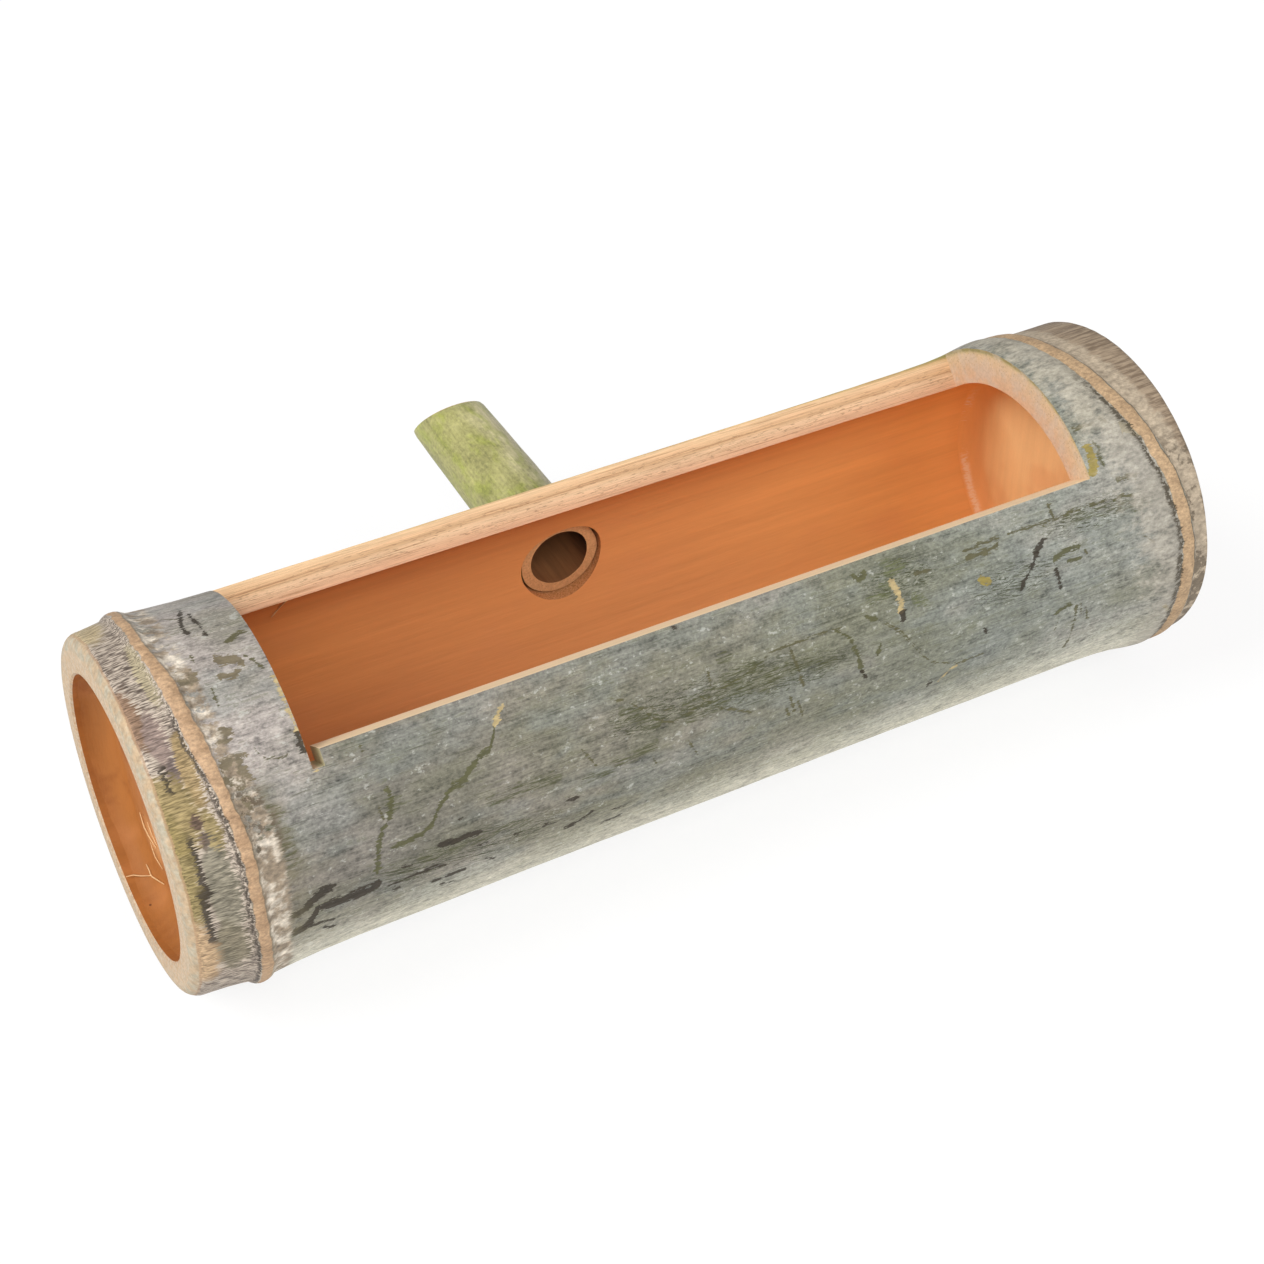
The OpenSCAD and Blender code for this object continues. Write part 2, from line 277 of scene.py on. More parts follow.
# Loose fibres: half thickness, and points as (x, y, height over the axis), in mm
FIBRES = (
    (0.22, ((-94.9, 28.2, 26.9), (-95.6, 33.2, 20.5), (-97.1, 34.9, 16.8))),
    (0.2, ((-145.0, 12.9, -32.8), (-144.9, 11.1, -33.3), (-145.0, 9.5, -34.0),
           (-144.2, 7.1, -33.5), (-143.4, 3.5, -32.0))),
    (0.18, ((-145.0, 9.6, -34.0), (-147.1, 11.2, -34.6), (-149.0, 12.4, -34.5),
            (-150.8, 12.6, -34.4))),
    (0.2, ((-143.4, 17.1, -17.8), (-143.6, 14.3, -20.3), (-143.6, 10.4, -20.4),
           (-143.3, 6.1, -20.8))),
    (0.15, ((-143.3, 11.1, -15.8), (-143.4, 8.5, -17.0), (-143.2, 5.4, -19.0))),
    (0.15, ((-143.5, 10.6, -22.8), (-143.5, 8.1, -25.8), (-143.1, 3.8, -26.6))),
)

# Patches of the band beside the left end: colour, middle and half reach along, angle
# and half angle
LEFT_PATCHES = (
    ((178, 160, 124), -9.0, 5.0, 32, 15),
    ((160, 148, 120), -2.6, 1.6, -4, 13),
    ((132, 104, 82), -9.5, 2.4, -17, 11),
    ((130, 112, 104), -6.0, 2.8, -25, 8),
    ((98, 84, 80), -5.0, 1.8, -36, 4.5),
    ((140, 122, 78), -8.8, 6.6, -47, 12),
    ((137, 121, 76), -11.2, 3.8, -64, 20),
    ((146, 124, 84), -2.0, 2.0, -36, 11),
    ((136, 120, 78), -1.6, 1.8, -55, 8),
    ((94, 74, 64), -4.8, 1.3, -51, 3),
    ((88, 72, 62), -4.0, 1.0, -57, 2.4),
    ((128, 122, 105), -3.4, 3.8, -73, 16),
    ((120, 112, 92), -4.6, 4.4, -94, 11),
    ((186, 156, 120), -12.4, 4.6, -95, 15),
)
# Dark fringes of that band: middle along, angle, half angle and half width
LEFT_FRINGES = (
    (-7.3, -64, 12, 0.9),
    (-8.6, -80, 12, 1.1),
    (-7.6, -37, 5, 0.7),
)
# Colours of the bare skin along the culm, by the share of its length
SKIN_ALONG = (
    (0.06, (148, 139, 128)), (0.13, (119, 114, 105)), (0.18, (116, 112, 102)),
    (0.30, (126, 121, 108)), (0.45, (121, 118, 104)), (0.58, (123, 122, 107)),
    (0.72, (126, 128, 117)), (0.85, (139, 141, 132)), (0.95, (150, 148, 138)),
)
# Where fine dark strokes cross each other: place and half reach along, angle and
# half angle
STROKE_PLACES = (
    (-8, 30, -67, 8), (-30, 14, -66, 7), (50, 14, -53, 9), (112, 20, -54, 6),
    (-82, 34, -91, 9), (84, 18, -66, 8), (14, 26, -71, 6),
)
# Colours inside the culm and of its septa, by the share of the culm's length
# Its dark left end is painted shade in the hollow of the left cup
LINING_ALONG = (
    (0.0, (160, 100, 46)), (0.04, (162, 102, 48)), (0.1, (228, 152, 86)), (0.3, (216, 146, 88)),
    (0.6, (220, 154, 94)), (0.85, (230, 166, 98)), (0.92, (236, 172, 104)), (1.0, (222, 160, 108)),
)
# The pith is dark at the left end and light at the right: painted shade on the left septum in its cup,
# and partly painted light on the right septum
SEPTUM_ALONG = (
    (0.0, (160, 98, 42)), (0.1, (188, 118, 62)), (0.2, (200, 130, 76)),
    (0.8, (238, 194, 136)), (0.95, (240, 200, 142)), (1.0, (220, 160, 108)),
)


# numbers
rng = np.random.default_rng(SEED)
LATTICE = rng.random((32, 32, 32)) * 2 - 1


def soft_noise(points, cell):
    """Smooth noise from -1 to 1 at points in mm, with the given cell size along each axis."""
    place = np.asarray(points, float) / np.asarray(cell, float)
    low = np.floor(place).astype(int)
    part = place - low
    part = part * part * (3 - 2 * part)
    total = 0
    for corner in np.ndindex(2, 2, 2):
        weight = 1
        index = []
        for axis in range(3):
            share = part[..., axis]
            weight = weight * (share if corner[axis] else 1 - share)
            index.append((low[..., axis] + corner[axis]) % 32)
        total = total + weight * LATTICE[tuple(index)]
    return total


def around(theta, table, column):
    """A column of a table by angle, read between its rows."""
    rows = np.array(table, float)
    return np.interp((theta + 180) % 360 - 180, rows[:, 0], rows[:, column])


def relief(distance, table):
    rows = np.array(table, float)
    return np.interp(distance, rows[:, 0], rows[:, 1])


def ring_place(x, theta):
    """Distances along the culm from the planes of the left and the right ring."""
    up = RING_NOMINAL_R * np.cos(np.radians(theta))
    out = RING_NOMINAL_R * np.sin(np.radians(theta))
    left = x + LEFT_RING_LEAN * up - LEFT_RING_X
    right = x + RIGHT_RING_LEAN * up + RIGHT_RING_TURN * out - RIGHT_RING_X
    return left, right


def outer_radius(x, theta):
    left, right = ring_place(x, theta)
    left_middle = (around(theta, LEFT_SCAR, 1) + around(theta, LEFT_SCAR, 2)) / 2
    right_middle = (around(theta, RIGHT_SCAR, 1) + around(theta, RIGHT_SCAR, 2)) / 2
    radius = BARE_R + TAPER * x
    radius = radius + relief(left - left_middle, LEFT_RELIEF)
    radius = radius + relief(right - right_middle, RIGHT_RELIEF)
    spot = np.stack([x, NOISE_R * np.sin(np.radians(theta)), NOISE_R * np.cos(np.radians(theta))], -1)
    radius = radius + 0.22 * soft_noise(spot, (46, 17, 17))
    radius = radius + 0.05 * soft_noise(spot, (16, 2.6, 2.6))
    radius = radius + 0.035 * soft_noise(spot, (3.4, 2.1, 2.1))
    return np.minimum(radius, MAX_R)


def put(x, theta, radius):
    """Points from places along, around and out from the culm's axis."""
    angle = np.radians(theta)
    return np.stack([x, radius * np.sin(angle), AXIS_Z + radius * np.cos(angle)], -1)


# meshes
def new_object(name, vertices, faces, materials, face_materials=0):
    """A piece from points in mm, with its faces turned outwards."""
    mesh = bpy.data.meshes.new(name)
    mesh.from_pydata((np.asarray(vertices) * MM).tolist(), [], faces)
    for material in materials:
        mesh.materials.append(material)
    mesh.polygons.foreach_set("material_index", np.full(len(faces), face_materials, np.int32))
    mesh.update()
    work = bmesh.new()
    work.from_mesh(mesh)
    bmesh.ops.recalc_face_normals(work, faces=work.faces)
    work.to_mesh(mesh)
    work.free()
    piece = bpy.data.objects.new(name, mesh)
    bpy.context.scene.collection.objects.link(piece)
    return piece


def smooth_by_angle(piece, degrees):
    mesh = piece.data
    mesh.polygons.foreach_set("use_smooth", np.ones(len(mesh.polygons), bool))
    mesh.set_sharp_from_angle(angle=math.radians(degrees))
    mesh.update()


def ring_faces(count, width, base=0):
    """Faces between rings of points that follow one another from the point number base on."""
    faces = []
    for low in range(base, base + (count - 1) * width, width):
        for column in range(width):
            after = (column + 1) % width
            faces.append((low + column, low + after, low + width + after, low + width + column))
    return faces


def cap_faces(count, width, base=0):
    """The first and the last ring, each as one face."""
    last = base + (count - 1) * width
    return [tuple(range(base, base + width)), tuple(range(last, last + width))]


def steps(start, end, pitch):
    """Evenly spaced places from start up to, but not with, end."""
    count = max(1, round(abs(end - start) / pitch))
    return list(np.linspace(start, end, count + 1)[:-1])


COLUMNS = np.array(
    steps(-180, -130, 1.9)
    + steps(-130, KERF_BOTTOM, 1.0)
    + steps(KERF_BOTTOM, FRONT_EDGE, 1.0)
    + steps(FRONT_EDGE, BACK_EDGE, 1.2)
    + steps(BACK_EDGE, 180, 1.9)
)
WINDOW_ROWS = (
    steps(WINDOW_X0, KERF_X1, 1.1)
    + steps(KERF_X1, 90, 2.0)
    + steps(90, WINDOW_X1, 1.6)
    + [WINDOW_X1]
)
SKIN, GRAIN, LINING, SPLIT = range(4)


def culm_rows():
    """Rows of the culm's section, round its wall: kind, place along it and a share for the kind."""
    rows = []
    for angle in np.linspace(0, math.pi / 2, 8)[:-1]:
        rows.append(("shoulder", LEFT_END + END_ROUND * (1 - math.cos(angle)), math.sin(angle)))
    round_start = RIGHT_END - RIGHT_EDGE_ROUND
    outer = steps(LEFT_END + END_ROUND, LEFT_FINE_END, 0.85) + steps(LEFT_FINE_END, WINDOW_X0, 1.4)
    outer += WINDOW_ROWS + steps(WINDOW_X1, RIGHT_FINE_START, 0.85)[1:]
    outer += steps(RIGHT_FINE_START, round_start, 0.8)
    rows += [("outer", x, 0) for x in outer + [round_start]]
    rows += [("outer_edge", RIGHT_END - 0.15, 0.35)]
    rows += [("right_face", RIGHT_END, share) for share in np.linspace(0, 1, 7)]
    inner = [RIGHT_END - 0.5, *steps(RIGHT_END - 2, RIGHT_CUP_STEP[0], 2.0), *RIGHT_CUP_STEP]
    inner += steps(136, WINDOW_X1, 2.2)
    inner += WINDOW_ROWS[::-1]
    inner += [*steps(WINDOW_X0 - 2, -140, 2.2), *LEFT_CUP_STEP]
    inner += steps(-145, LEFT_END + 0.5, 1.8) + [LEFT_END + 0.5]
    rows += [("inner", x, 0) for x in inner]
    rows += [("left_face", LEFT_END, share) for share in np.linspace(0, 1, 5)[:-1]]
    return rows


def culm_point_row(kind, place, share):
    """One row of points round the culm."""
    theta = COLUMNS.copy()
    up = np.cos(np.radians(theta))
    out = np.sin(np.radians(theta))
    if kind in ("shoulder", "outer", "outer_edge"):
        lean = np.interp(place, LEFT_LEAN_PLACES, (0, LEFT_RING_LEAN, LEFT_RING_LEAN, 0))
        lean += np.interp(place, RIGHT_LEAN_PLACES,
                          (0, RIGHT_RING_LEAN, RIGHT_RING_LEAN, RIGHT_CUT_LEAN))
        turn = np.interp(place, RIGHT_LEAN_PLACES, (0, RIGHT_RING_TURN, RIGHT_RING_TURN, 0))
        x = place - RING_NOMINAL_R * (lean * up + turn * out)
        radius = outer_radius(x, theta)
        if kind == "shoulder":
            radius = radius - END_ROUND * (1 - share)
        if kind == "outer_edge":
            radius = radius - share
        return x, theta, radius
    if kind == "right_face":
        start = outer_radius(np.full_like(theta, RIGHT_END - RIGHT_EDGE_ROUND), theta) - 0.7
        radius = start + (CUP_R + 0.5 - start) * share
        return place - RIGHT_CUT_LEAN * radius * up, theta, radius
    if kind == "left_face":
        start = outer_radius(np.full_like(theta, LEFT_END), theta) - END_ROUND
        radius = CUP_R + 0.5 + (start - CUP_R - 0.5) * share
        return np.full_like(theta, place), theta, radius
    lean = np.interp(place, SEPTUM_LEAN_PLACES,
                     (0, RIGHT_SEPTUM_LEAN, RIGHT_SEPTUM_LEAN, RIGHT_CUT_LEAN))
    in_cup = place >= RIGHT_CUP_STEP[0] or place <= LEFT_CUP_STEP[1]
    window_places = (WINDOW_X0 - WINDOW_REACH, WINDOW_X0, WINDOW_X1, WINDOW_X1 + WINDOW_REACH)
    near_window = np.interp(place, window_places, (0, 1, 1, 0))
    shift = (FRONT_EDGE_INNER - FRONT_EDGE) * np.exp(-((theta - FRONT_EDGE) / 14) ** 2)
    theta = theta + shift * near_window
    radius = np.full_like(theta, CUP_R if in_cup else TROUGH_R)
    x = place - lean * radius * up
    spot = put(x, theta, radius)
    radius = radius + 0.16 * soft_noise(spot, (60, 19, 19)) + 0.03 * soft_noise(spot, (26, 2.4, 2.4))
    return x, theta, radius


def build_culm(materials):
    rows = culm_rows()
    grid = np.stack([put(*culm_point_row(*row)) for row in rows])
    row_count, column_count = grid.shape[:2]
    kinds = [row[0] for row in rows]

    def find_row(kind, place):
        return next(number for number, row in enumerate(rows)
                    if row[0] == kind and abs(row[1] - place) < 1e-6)

    def find_column(theta):
        return int(np.argmin(np.abs(COLUMNS - theta)))

    outer_x0, outer_x1 = find_row("outer", WINDOW_X0), find_row("outer", WINDOW_X1)
    inner_x0 = find_row("inner", WINDOW_X0)
    last = outer_x1 - outer_x0
    kerf_rows = find_row("outer", KERF_X1) - outer_x0
    front, back, kerf = find_column(FRONT_EDGE), find_column(BACK_EDGE), find_column(KERF_BOTTOM)

    def cut(along, column):
        """True for a cell of the window or kerf, counted from the window's first row."""
        in_window = 0 <= along < last and front <= column < back
        return in_window or (0 <= along < kerf_rows and kerf <= column < front)

    def index(row, column):
        return (row % row_count) * column_count + column % column_count

    faces, face_materials = [], []
    for row in range(row_count):
        kind, after = kinds[row], kinds[(row + 1) % row_count]
        if kind in ("shoulder", "outer"):
            material, along = SKIN, row - outer_x0
        elif kind == "inner" and after == "inner":
            material, along = LINING, inner_x0 - row - 1
        else:
            material, along = GRAIN, -1
        for column in range(column_count):
            if cut(along, column):
                continue
            faces.append((index(row, column), index(row, column + 1),
                          index(row + 1, column + 1), index(row + 1, column)))
            face_materials.append(material)

    # The window's cut faces run round its edge, between the skin and the lining
    edge = [(i, back) for i in range(last)]
    edge += [(last, c) for c in range(back, front, -1)]
    edge += [(i, front) for i in range(last, kerf_rows, -1)]
    edge += [(kerf_rows, c) for c in range(front, kerf, -1)]
    edge += [(i, kerf) for i in range(kerf_rows, 0, -1)]
    edge += [(0, c) for c in range(kerf, back)]
    vertices = [grid.reshape(-1, 3)]
    base = row_count * column_count
    strip = np.zeros((len(edge), DEPTH_STEPS - 1, 3))
    for number, (along, column) in enumerate(edge):
        top = grid[outer_x0 + along, column]
        bottom = grid[inner_x0 - along, column]
        for level in range(1, DEPTH_STEPS):
            strip[number, level - 1] = top + (bottom - top) * level / DEPTH_STEPS
    rough = 0.16 * soft_noise(strip, (19, 0.9, 0.9)) + 0.1 * soft_noise(strip, (5, 0.7, 0.7))
    for number, (along, column) in enumerate(edge):
        if column in (front, back) and 0 < along < last:
            turn = math.radians(COLUMNS[column])
            side = np.array([0, math.cos(turn), -math.sin(turn)])
            strip[number] += side * (rough[number] * (1.0 if column == back else 0.4))[:, None]
    vertices.append(strip.reshape(-1, 3))

    def strip_index(number, level):
        number %= len(edge)
        along, column = edge[number]
        if level == 0:
            return index(outer_x0 + along, column)
        if level == DEPTH_STEPS:
            return index(inner_x0 - along, column)
        return base + number * (DEPTH_STEPS - 1) + level - 1

    for number in range(len(edge)):
        here, there = edge[number], edge[(number + 1) % len(edge)]
        material = SPLIT if here[1] == there[1] and here[1] in (front, back) else GRAIN
        for level in range(DEPTH_STEPS):
            faces.append((strip_index(number, level), strip_index(number + 1, level),
                          strip_index(number + 1, level + 1), strip_index(number, level + 1)))
            face_materials.append(material)
    return new_object("culm", np.concatenate(vertices), faces, materials, face_materials)


def bore_tube_hole(culm, material):
    """Cuts the outlet cane's hole through the culm's back wall."""
    angles = np.radians(np.arange(0, 360, 3.0))
    rings = []
    for y in (30, 36.5, 39.5, 43, 47, 60):
        level = np.full_like(angles, y)
        spot = np.stack([np.cos(angles) * 9, np.sin(angles) * 9, level], -1)
        radius = HOLE_R + 0.1 * soft_noise(spot, 5.0)
        rings.append(np.stack([TUBE_X + radius * np.cos(angles), level,
                               AXIS_Z + radius * np.sin(angles)], -1))
    shape = len(rings), len(angles)
    faces = ring_faces(*shape) + cap_faces(*shape)
    cutter = new_object("hole_cutter", np.concatenate(rings), faces, [material])
    modifier = culm.modifiers.new("hole", "BOOLEAN")
    modifier.operation = "DIFFERENCE"
    modifier.solver = "EXACT"
    modifier.material_mode = "TRANSFER"
    modifier.object = cutter
    bpy.context.view_layer.update()
    result = culm.evaluated_get(bpy.context.evaluated_depsgraph_get())
    old = culm.data
    mesh = bpy.data.meshes.new_from_object(result)
    culm.modifiers.clear()
    culm.data = mesh
    bpy.data.meshes.remove(old)
    bpy.data.objects.remove(cutter)


def build_septum(name, x, lean, facing, material):
    """A septum's disc, with a hollow fillet to the trough's wall and one to the cup's."""
    fillet, cup_fillet, sunk = 5.0, 6.6, 0.3
    profile = [(share * (TROUGH_R - fillet), SEPTUM_HALF) for share in np.linspace(0, 1, 15)[1:]]
    for angle in np.linspace(0, math.pi / 2, 8)[1:]:
        profile.append((TROUGH_R - fillet + fillet * math.sin(angle),
                        SEPTUM_HALF + fillet * (1 - math.cos(angle))))
    profile.append((TROUGH_R + sunk, SEPTUM_HALF + fillet + 0.1))
    profile.append((TROUGH_R + sunk, -SEPTUM_HALF + 0.2))
    profile.append((CUP_R + sunk, -SEPTUM_HALF - 0.2))
    profile.append((CUP_R + sunk, -SEPTUM_HALF - cup_fillet))
    for angle in np.linspace(math.pi / 2, 0, 7):
        profile.append((CUP_R - cup_fillet + cup_fillet * math.sin(angle),
                        -SEPTUM_HALF - cup_fillet * (1 - math.cos(angle))))
    profile += [(share * (CUP_R - cup_fillet), -SEPTUM_HALF) for share in np.linspace(1, 0, 14)[1:-1]]
    angles = np.radians(np.arange(0, 360, 2.25))
    rings = []
    for radius, offset in profile:
        up, out = radius * np.cos(angles), radius * np.sin(angles)
        spot = np.stack([np.full_like(up, x + offset), out, up], -1)
        inside = min(1, max(0, (CUP_R - 1 - radius) / 6))
        wave = 0.45 * soft_noise(spot, (50, 12, 12)) + 0.12 * soft_noise(spot, (50, 3.5, 3.5))
        rings.append(np.stack([x + facing * offset - lean * up + wave * inside, out, AXIS_Z + up], -1))
    count, width = len(rings), len(angles)
    middles = [[rings[0].mean(0)], [rings[-1].mean(0)]]
    vertices = np.concatenate(rings + middles)
    faces = ring_faces(count, width)
    for column in range(width):
        after = (column + 1) % width
        last = (count - 1) * width
        faces.append((count * width, after, column))
        faces.append((count * width + 1, last + column, last + after))
    piece = new_object(name, vertices, faces, [material])
    smooth_by_angle(piece, 50)
    return piece


TUBE_SKIN, TUBE_GRAIN, TUBE_INSIDE = range(3)


def build_tube(materials):
    """The outlet cane: its skin, its square inner end, its bore and its slanted outer end."""
    angles = np.radians(np.arange(0, 360, 3.0))
    length = TUBE_Y1 - TUBE_Y0
    # A round trip through the wall: share of the length, of the wall's thickness, and material
    sections = [(share, 1, TUBE_SKIN) for share in np.linspace(0, 1, 40)]
    sections += [(1, share, TUBE_GRAIN) for share in (0.85, 0.5, 0.12)]
    sections += [(share, 0, TUBE_INSIDE) for share in np.linspace(1, 0, 26)]
    sections += [(0, share, TUBE_GRAIN) for share in (0.12, 0.5, 0.85)]
    rings = []
    face_materials = []
    for number, (share, skin, material) in enumerate(sections):
        outer = TUBE_R0 + (TUBE_R1 - TUBE_R0) * share
        radius = TUBE_BORE + (outer - TUBE_BORE) * skin
        # The end rings round off a little
        edge = 0.25 if material == TUBE_SKIN and share in (0.0, 1.0) else 0
        up = radius * np.sin(angles)
        reach = length * share - TUBE_SLOPE * up * share
        spot = np.stack([radius * np.cos(angles), reach, up], -1)
        bumps = 0.12 * soft_noise(spot, (8, 30, 8)) + 0.05 * soft_noise(spot, (2.5, 9, 2.5)) - 0.12
        radius = radius - edge + (bumps if skin > 0.5 else -bumps * 1.5 - 0.1)
        up = radius * np.sin(angles)
        rings.append(np.stack([TUBE_X + radius * np.cos(angles), TUBE_Y0 + reach, AXIS_Z + up], -1))
        same = material == sections[(number + 1) % len(sections)][2]
        face_materials += [material if same else TUBE_GRAIN] * len(angles)
    # The last ring joins the first
    vertices = np.concatenate(rings)
    faces = [tuple(point % len(vertices) for point in face)
             for face in ring_faces(len(rings) + 1, len(angles))]
    piece = new_object("outlet_cane", vertices, faces, materials, face_materials)
    smooth_by_angle(piece, 40)
    return piece


def build_fibres(material):
    """Thin torn fibres, each a closed tube that tapers to both ends."""
    vertices, faces = [], []
    count, sides = 12, 6
    turns = np.arange(sides) * 2 * math.pi / sides
    for thick, points in FIBRES:
        path = np.array(points)
        path[:, 2] += AXIS_Z
        places = np.linspace(0, len(path) - 1, count)
        line = np.stack([np.interp(places, range(len(path)), path[:, k]) for k in range(3)], -1)
        along = np.gradient(line, axis=0)
        along /= np.linalg.norm(along, axis=1)[:, None]
        first = np.cross(along, (0.3, 0.4, 0.86))
        first /= np.linalg.norm(first, axis=1)[:, None]
        second = np.cross(along, first)
        width = thick * (0.35 + 0.65 * np.sin(np.linspace(0.3, math.pi - 0.3, count)))
        base = len(vertices)
        for spot, right, up, reach in zip(line, first, second, width):
            for turn in turns:
                vertices.append(spot + reach * (right * math.cos(turn) + up * math.sin(turn)))
        faces += ring_faces(count, sides, base) + cap_faces(count, sides, base)
    piece = new_object("culm_fibres", vertices, faces, [material])
    smooth_by_angle(piece, 50)
    return piece


# node materials
def srgb(colour):
    """A colour written as sRGB bytes, as linear values for a node."""
    levels = [byte / 255 for byte in colour]
    return [*(level / 12.92 if level <= 0.04045 else ((level + 0.055) / 1.055) ** 2.4
              for level in levels), 1]


class Value:
    """A socket that takes part in arithmetic."""

    def __init__(self, graph, socket):
        self.graph = graph
        self.socket = socket

    def __add__(self, other):
        return self.graph.math("ADD", self, other)

    def __sub__(self, other):
        return self.graph.math("SUBTRACT", self, other)

    def __mul__(self, other):
        return self.graph.math("MULTIPLY", self, other)

    __radd__ = __add__
    __rmul__ = __mul__


# The turn that brings an axis to X, and where it is counted from, in mm
AXES = {
    "x": ((0, 0, 0), 0.0),
    "y": ((0, 0, -math.pi / 2), 0.0),
    "z": ((0, math.pi / 2, 0), AXIS_Z),
}


class Graph:
    """A node tree written as formulas. Its nodes are made in the order in which they are used."""

    def __init__(self, tree):
        self.tree = tree
        self.place = None

    def fill(self, socket, value):
        """Links a value, or sets a number, a list or a colour, which is a tuple of sRGB bytes."""
        if isinstance(value, Value):
            self.tree.links.new(value.socket, socket)
        else:
            socket.default_value = srgb(value) if isinstance(value, tuple) else value

    def node(self, kind, inputs, output=0, **settings):
        made = self.tree.nodes.new(kind)
        for setting, value in settings.items():
            setattr(made, setting, value)
        for key, value in inputs.items():
            self.fill(made.inputs[key], value)
        return Value(self, made.outputs[output])

    def call(self, group, **values):
        """The result of a node group for these inputs."""
        return self.node("ShaderNodeGroup", values, node_tree=group)

    def mapped(self, scale, turn=(0, 0, 0), shift=(0, 0, 0), kind="POINT"):
        """The place on the object in metres, after a scaling, a turn and a shift."""
        if self.place is None:
            self.place = self.node("ShaderNodeTexCoord", {}, "Object")
        inputs = {"Vector": self.place, "Scale": list(scale), "Rotation": list(turn),
                  "Location": list(shift)}
        return self.node("ShaderNodeMapping", inputs, vector_type=kind)

    def axis(self, name):
        """The place in mm along X or Y, or up from the culm's axis."""
        turn, middle = AXES[name]
        spot = self.mapped([1 / (AXIS_REACH * MM)] * 3, turn, (0.5 - middle / AXIS_REACH, 0, 0))
        level = self.node("ShaderNodeTexGradient", {"Vector": spot}, 1)
        return (level - 0.5) * AXIS_REACH

    def angle(self):
        """The angle from straight up towards the outlet cane, in degrees."""
        spot = self.mapped((1, 1, 1), (0, math.pi / 2, 0), (-AXIS_Z * MM, 0, 0))
        turned = self.node("ShaderNodeTexGradient", {"Vector": spot}, 1, gradient_type="RADIAL")
        return (turned - 0.5) * 360

    def math(self, operation, *values):
        return self.node("ShaderNodeMath", dict(enumerate(values)), operation=operation)

    def gap(self, first, second):
        """The distance between two values."""
        return self.math("ABSOLUTE", first - second)

    def root(self, first, second):
        """The length of the diagonal over two values."""
        return self.math("SQRT", first * first + second * second)

    def oval(self, along, theta, middle, reach, angle, spread):
        """0 in the middle of an oval spot, and 1 on its edge."""
        across = self.math("DIVIDE", along - middle, reach)
        turned = self.math("DIVIDE", theta - angle, spread)
        return across * across + turned * turned

    def scaled_place(self, along, across, seed, axis=0):
        """The place on the object, scaled to cells of these sizes in mm along and across an axis."""
        scale = [1 / ((along if number == axis else across) * MM) for number in range(3)]
        return self.mapped(scale, shift=(seed * 7.3, seed * 3.1, seed * 5.7))

    def noise_at(self, spot, detail, rough):
        inputs = {"Vector": spot, "Scale": 1.0, "Detail": detail, "Roughness": rough}
        return self.node("ShaderNodeTexNoise", inputs)

    def noise(self, along, across, detail=2.0, rough=0.5, seed=0.0, axis=0):
        """Noise from 0 to 1, with cells of these sizes in mm along and across the culm or tube."""
        return self.noise_at(self.scaled_place(along, across, seed, axis), detail, rough)

    def strokes(self, along, across, turn, seed):
        """Noise drawn out along the culm, turned by an angle as seen from the front."""
        sizes = (along * MM, across * MM, across * MM)
        return self.noise_at(self.mapped(sizes, (0, turn, 0), [seed * MM] * 3, "TEXTURE"), 3.0, 0.65)

    def cells(self, along, across, seed=0.0):
        """Distance to the nearest of scattered points, in cell sizes."""
        spot = self.scaled_place(along, across, seed)
        return self.node("ShaderNodeTexVoronoi", {"Vector": spot, "Scale": 1.0})

    def share(self, value, low, high, **settings):
        """The share of the way from low to high, held at both ends."""
        return self.node("ShaderNodeMapRange", {0: value, 1: low, 2: high}, **settings)

    def smooth(self, value, low, high):
        """0 below low and 1 above high, or the other way round when low is the larger."""
        return self.share(value, low, high, interpolation_type="SMOOTHSTEP")

    def mix(self, share, first, second):
        return self.node("ShaderNodeMix", {0: share, 6: first, 7: second}, 2, data_type="RGBA")

    def shade(self, colour, level):
        """A colour made lighter or darker by a factor."""
        inputs = {0: level, 6: (0, 0, 0), 7: colour}
        return self.node("ShaderNodeMix", inputs, 2, data_type="RGBA", clamp_factor=False)

    def gradient(self, value, stops, constant=False):
        """A colour by value, from stops as (place from 0 to 1, colour)."""
        made = self.tree.nodes.new("ShaderNodeValToRGB")
        band = made.color_ramp
        band.interpolation = "CONSTANT" if constant else "LINEAR"
        while len(band.elements) < len(stops):
            band.elements.new(0.5)
        for number, (place, colour) in enumerate(stops):
            band.elements[number].position = place
            band.elements[number].color = srgb(colour)
        self.fill(made.inputs[0], value)
        return Value(self, made.outputs[0])

    def triple(self, value):
        """A value three times over, as a table reads it."""
        return self.node("ShaderNodeCombineColor", {0: value, 1: value, 2: value})

    def table(self, triple, rows):
        """Two or three values by a place, all from 0 to 1, from rows of the place and the values."""
        count = len(rows[0]) - 1
        made = self.tree.nodes.new("ShaderNodeRGBCurve")
        for channel in range(count):
            curve = made.mapping.curves[channel]
            while len(curve.points) < len(rows):
                curve.points.new(0.5, 0.5)
            for point, row in zip(curve.points, rows):
                point.location = (row[0], row[channel + 1])
                point.handle_type = "VECTOR"
        made.mapping.update()
        self.fill(made.inputs["Color"], triple)
        parts = self.tree.nodes.new("ShaderNodeSeparateColor")
        self.tree.links.new(made.outputs[0], parts.inputs[0])
        return [Value(self, socket) for socket in parts.outputs[:count]]


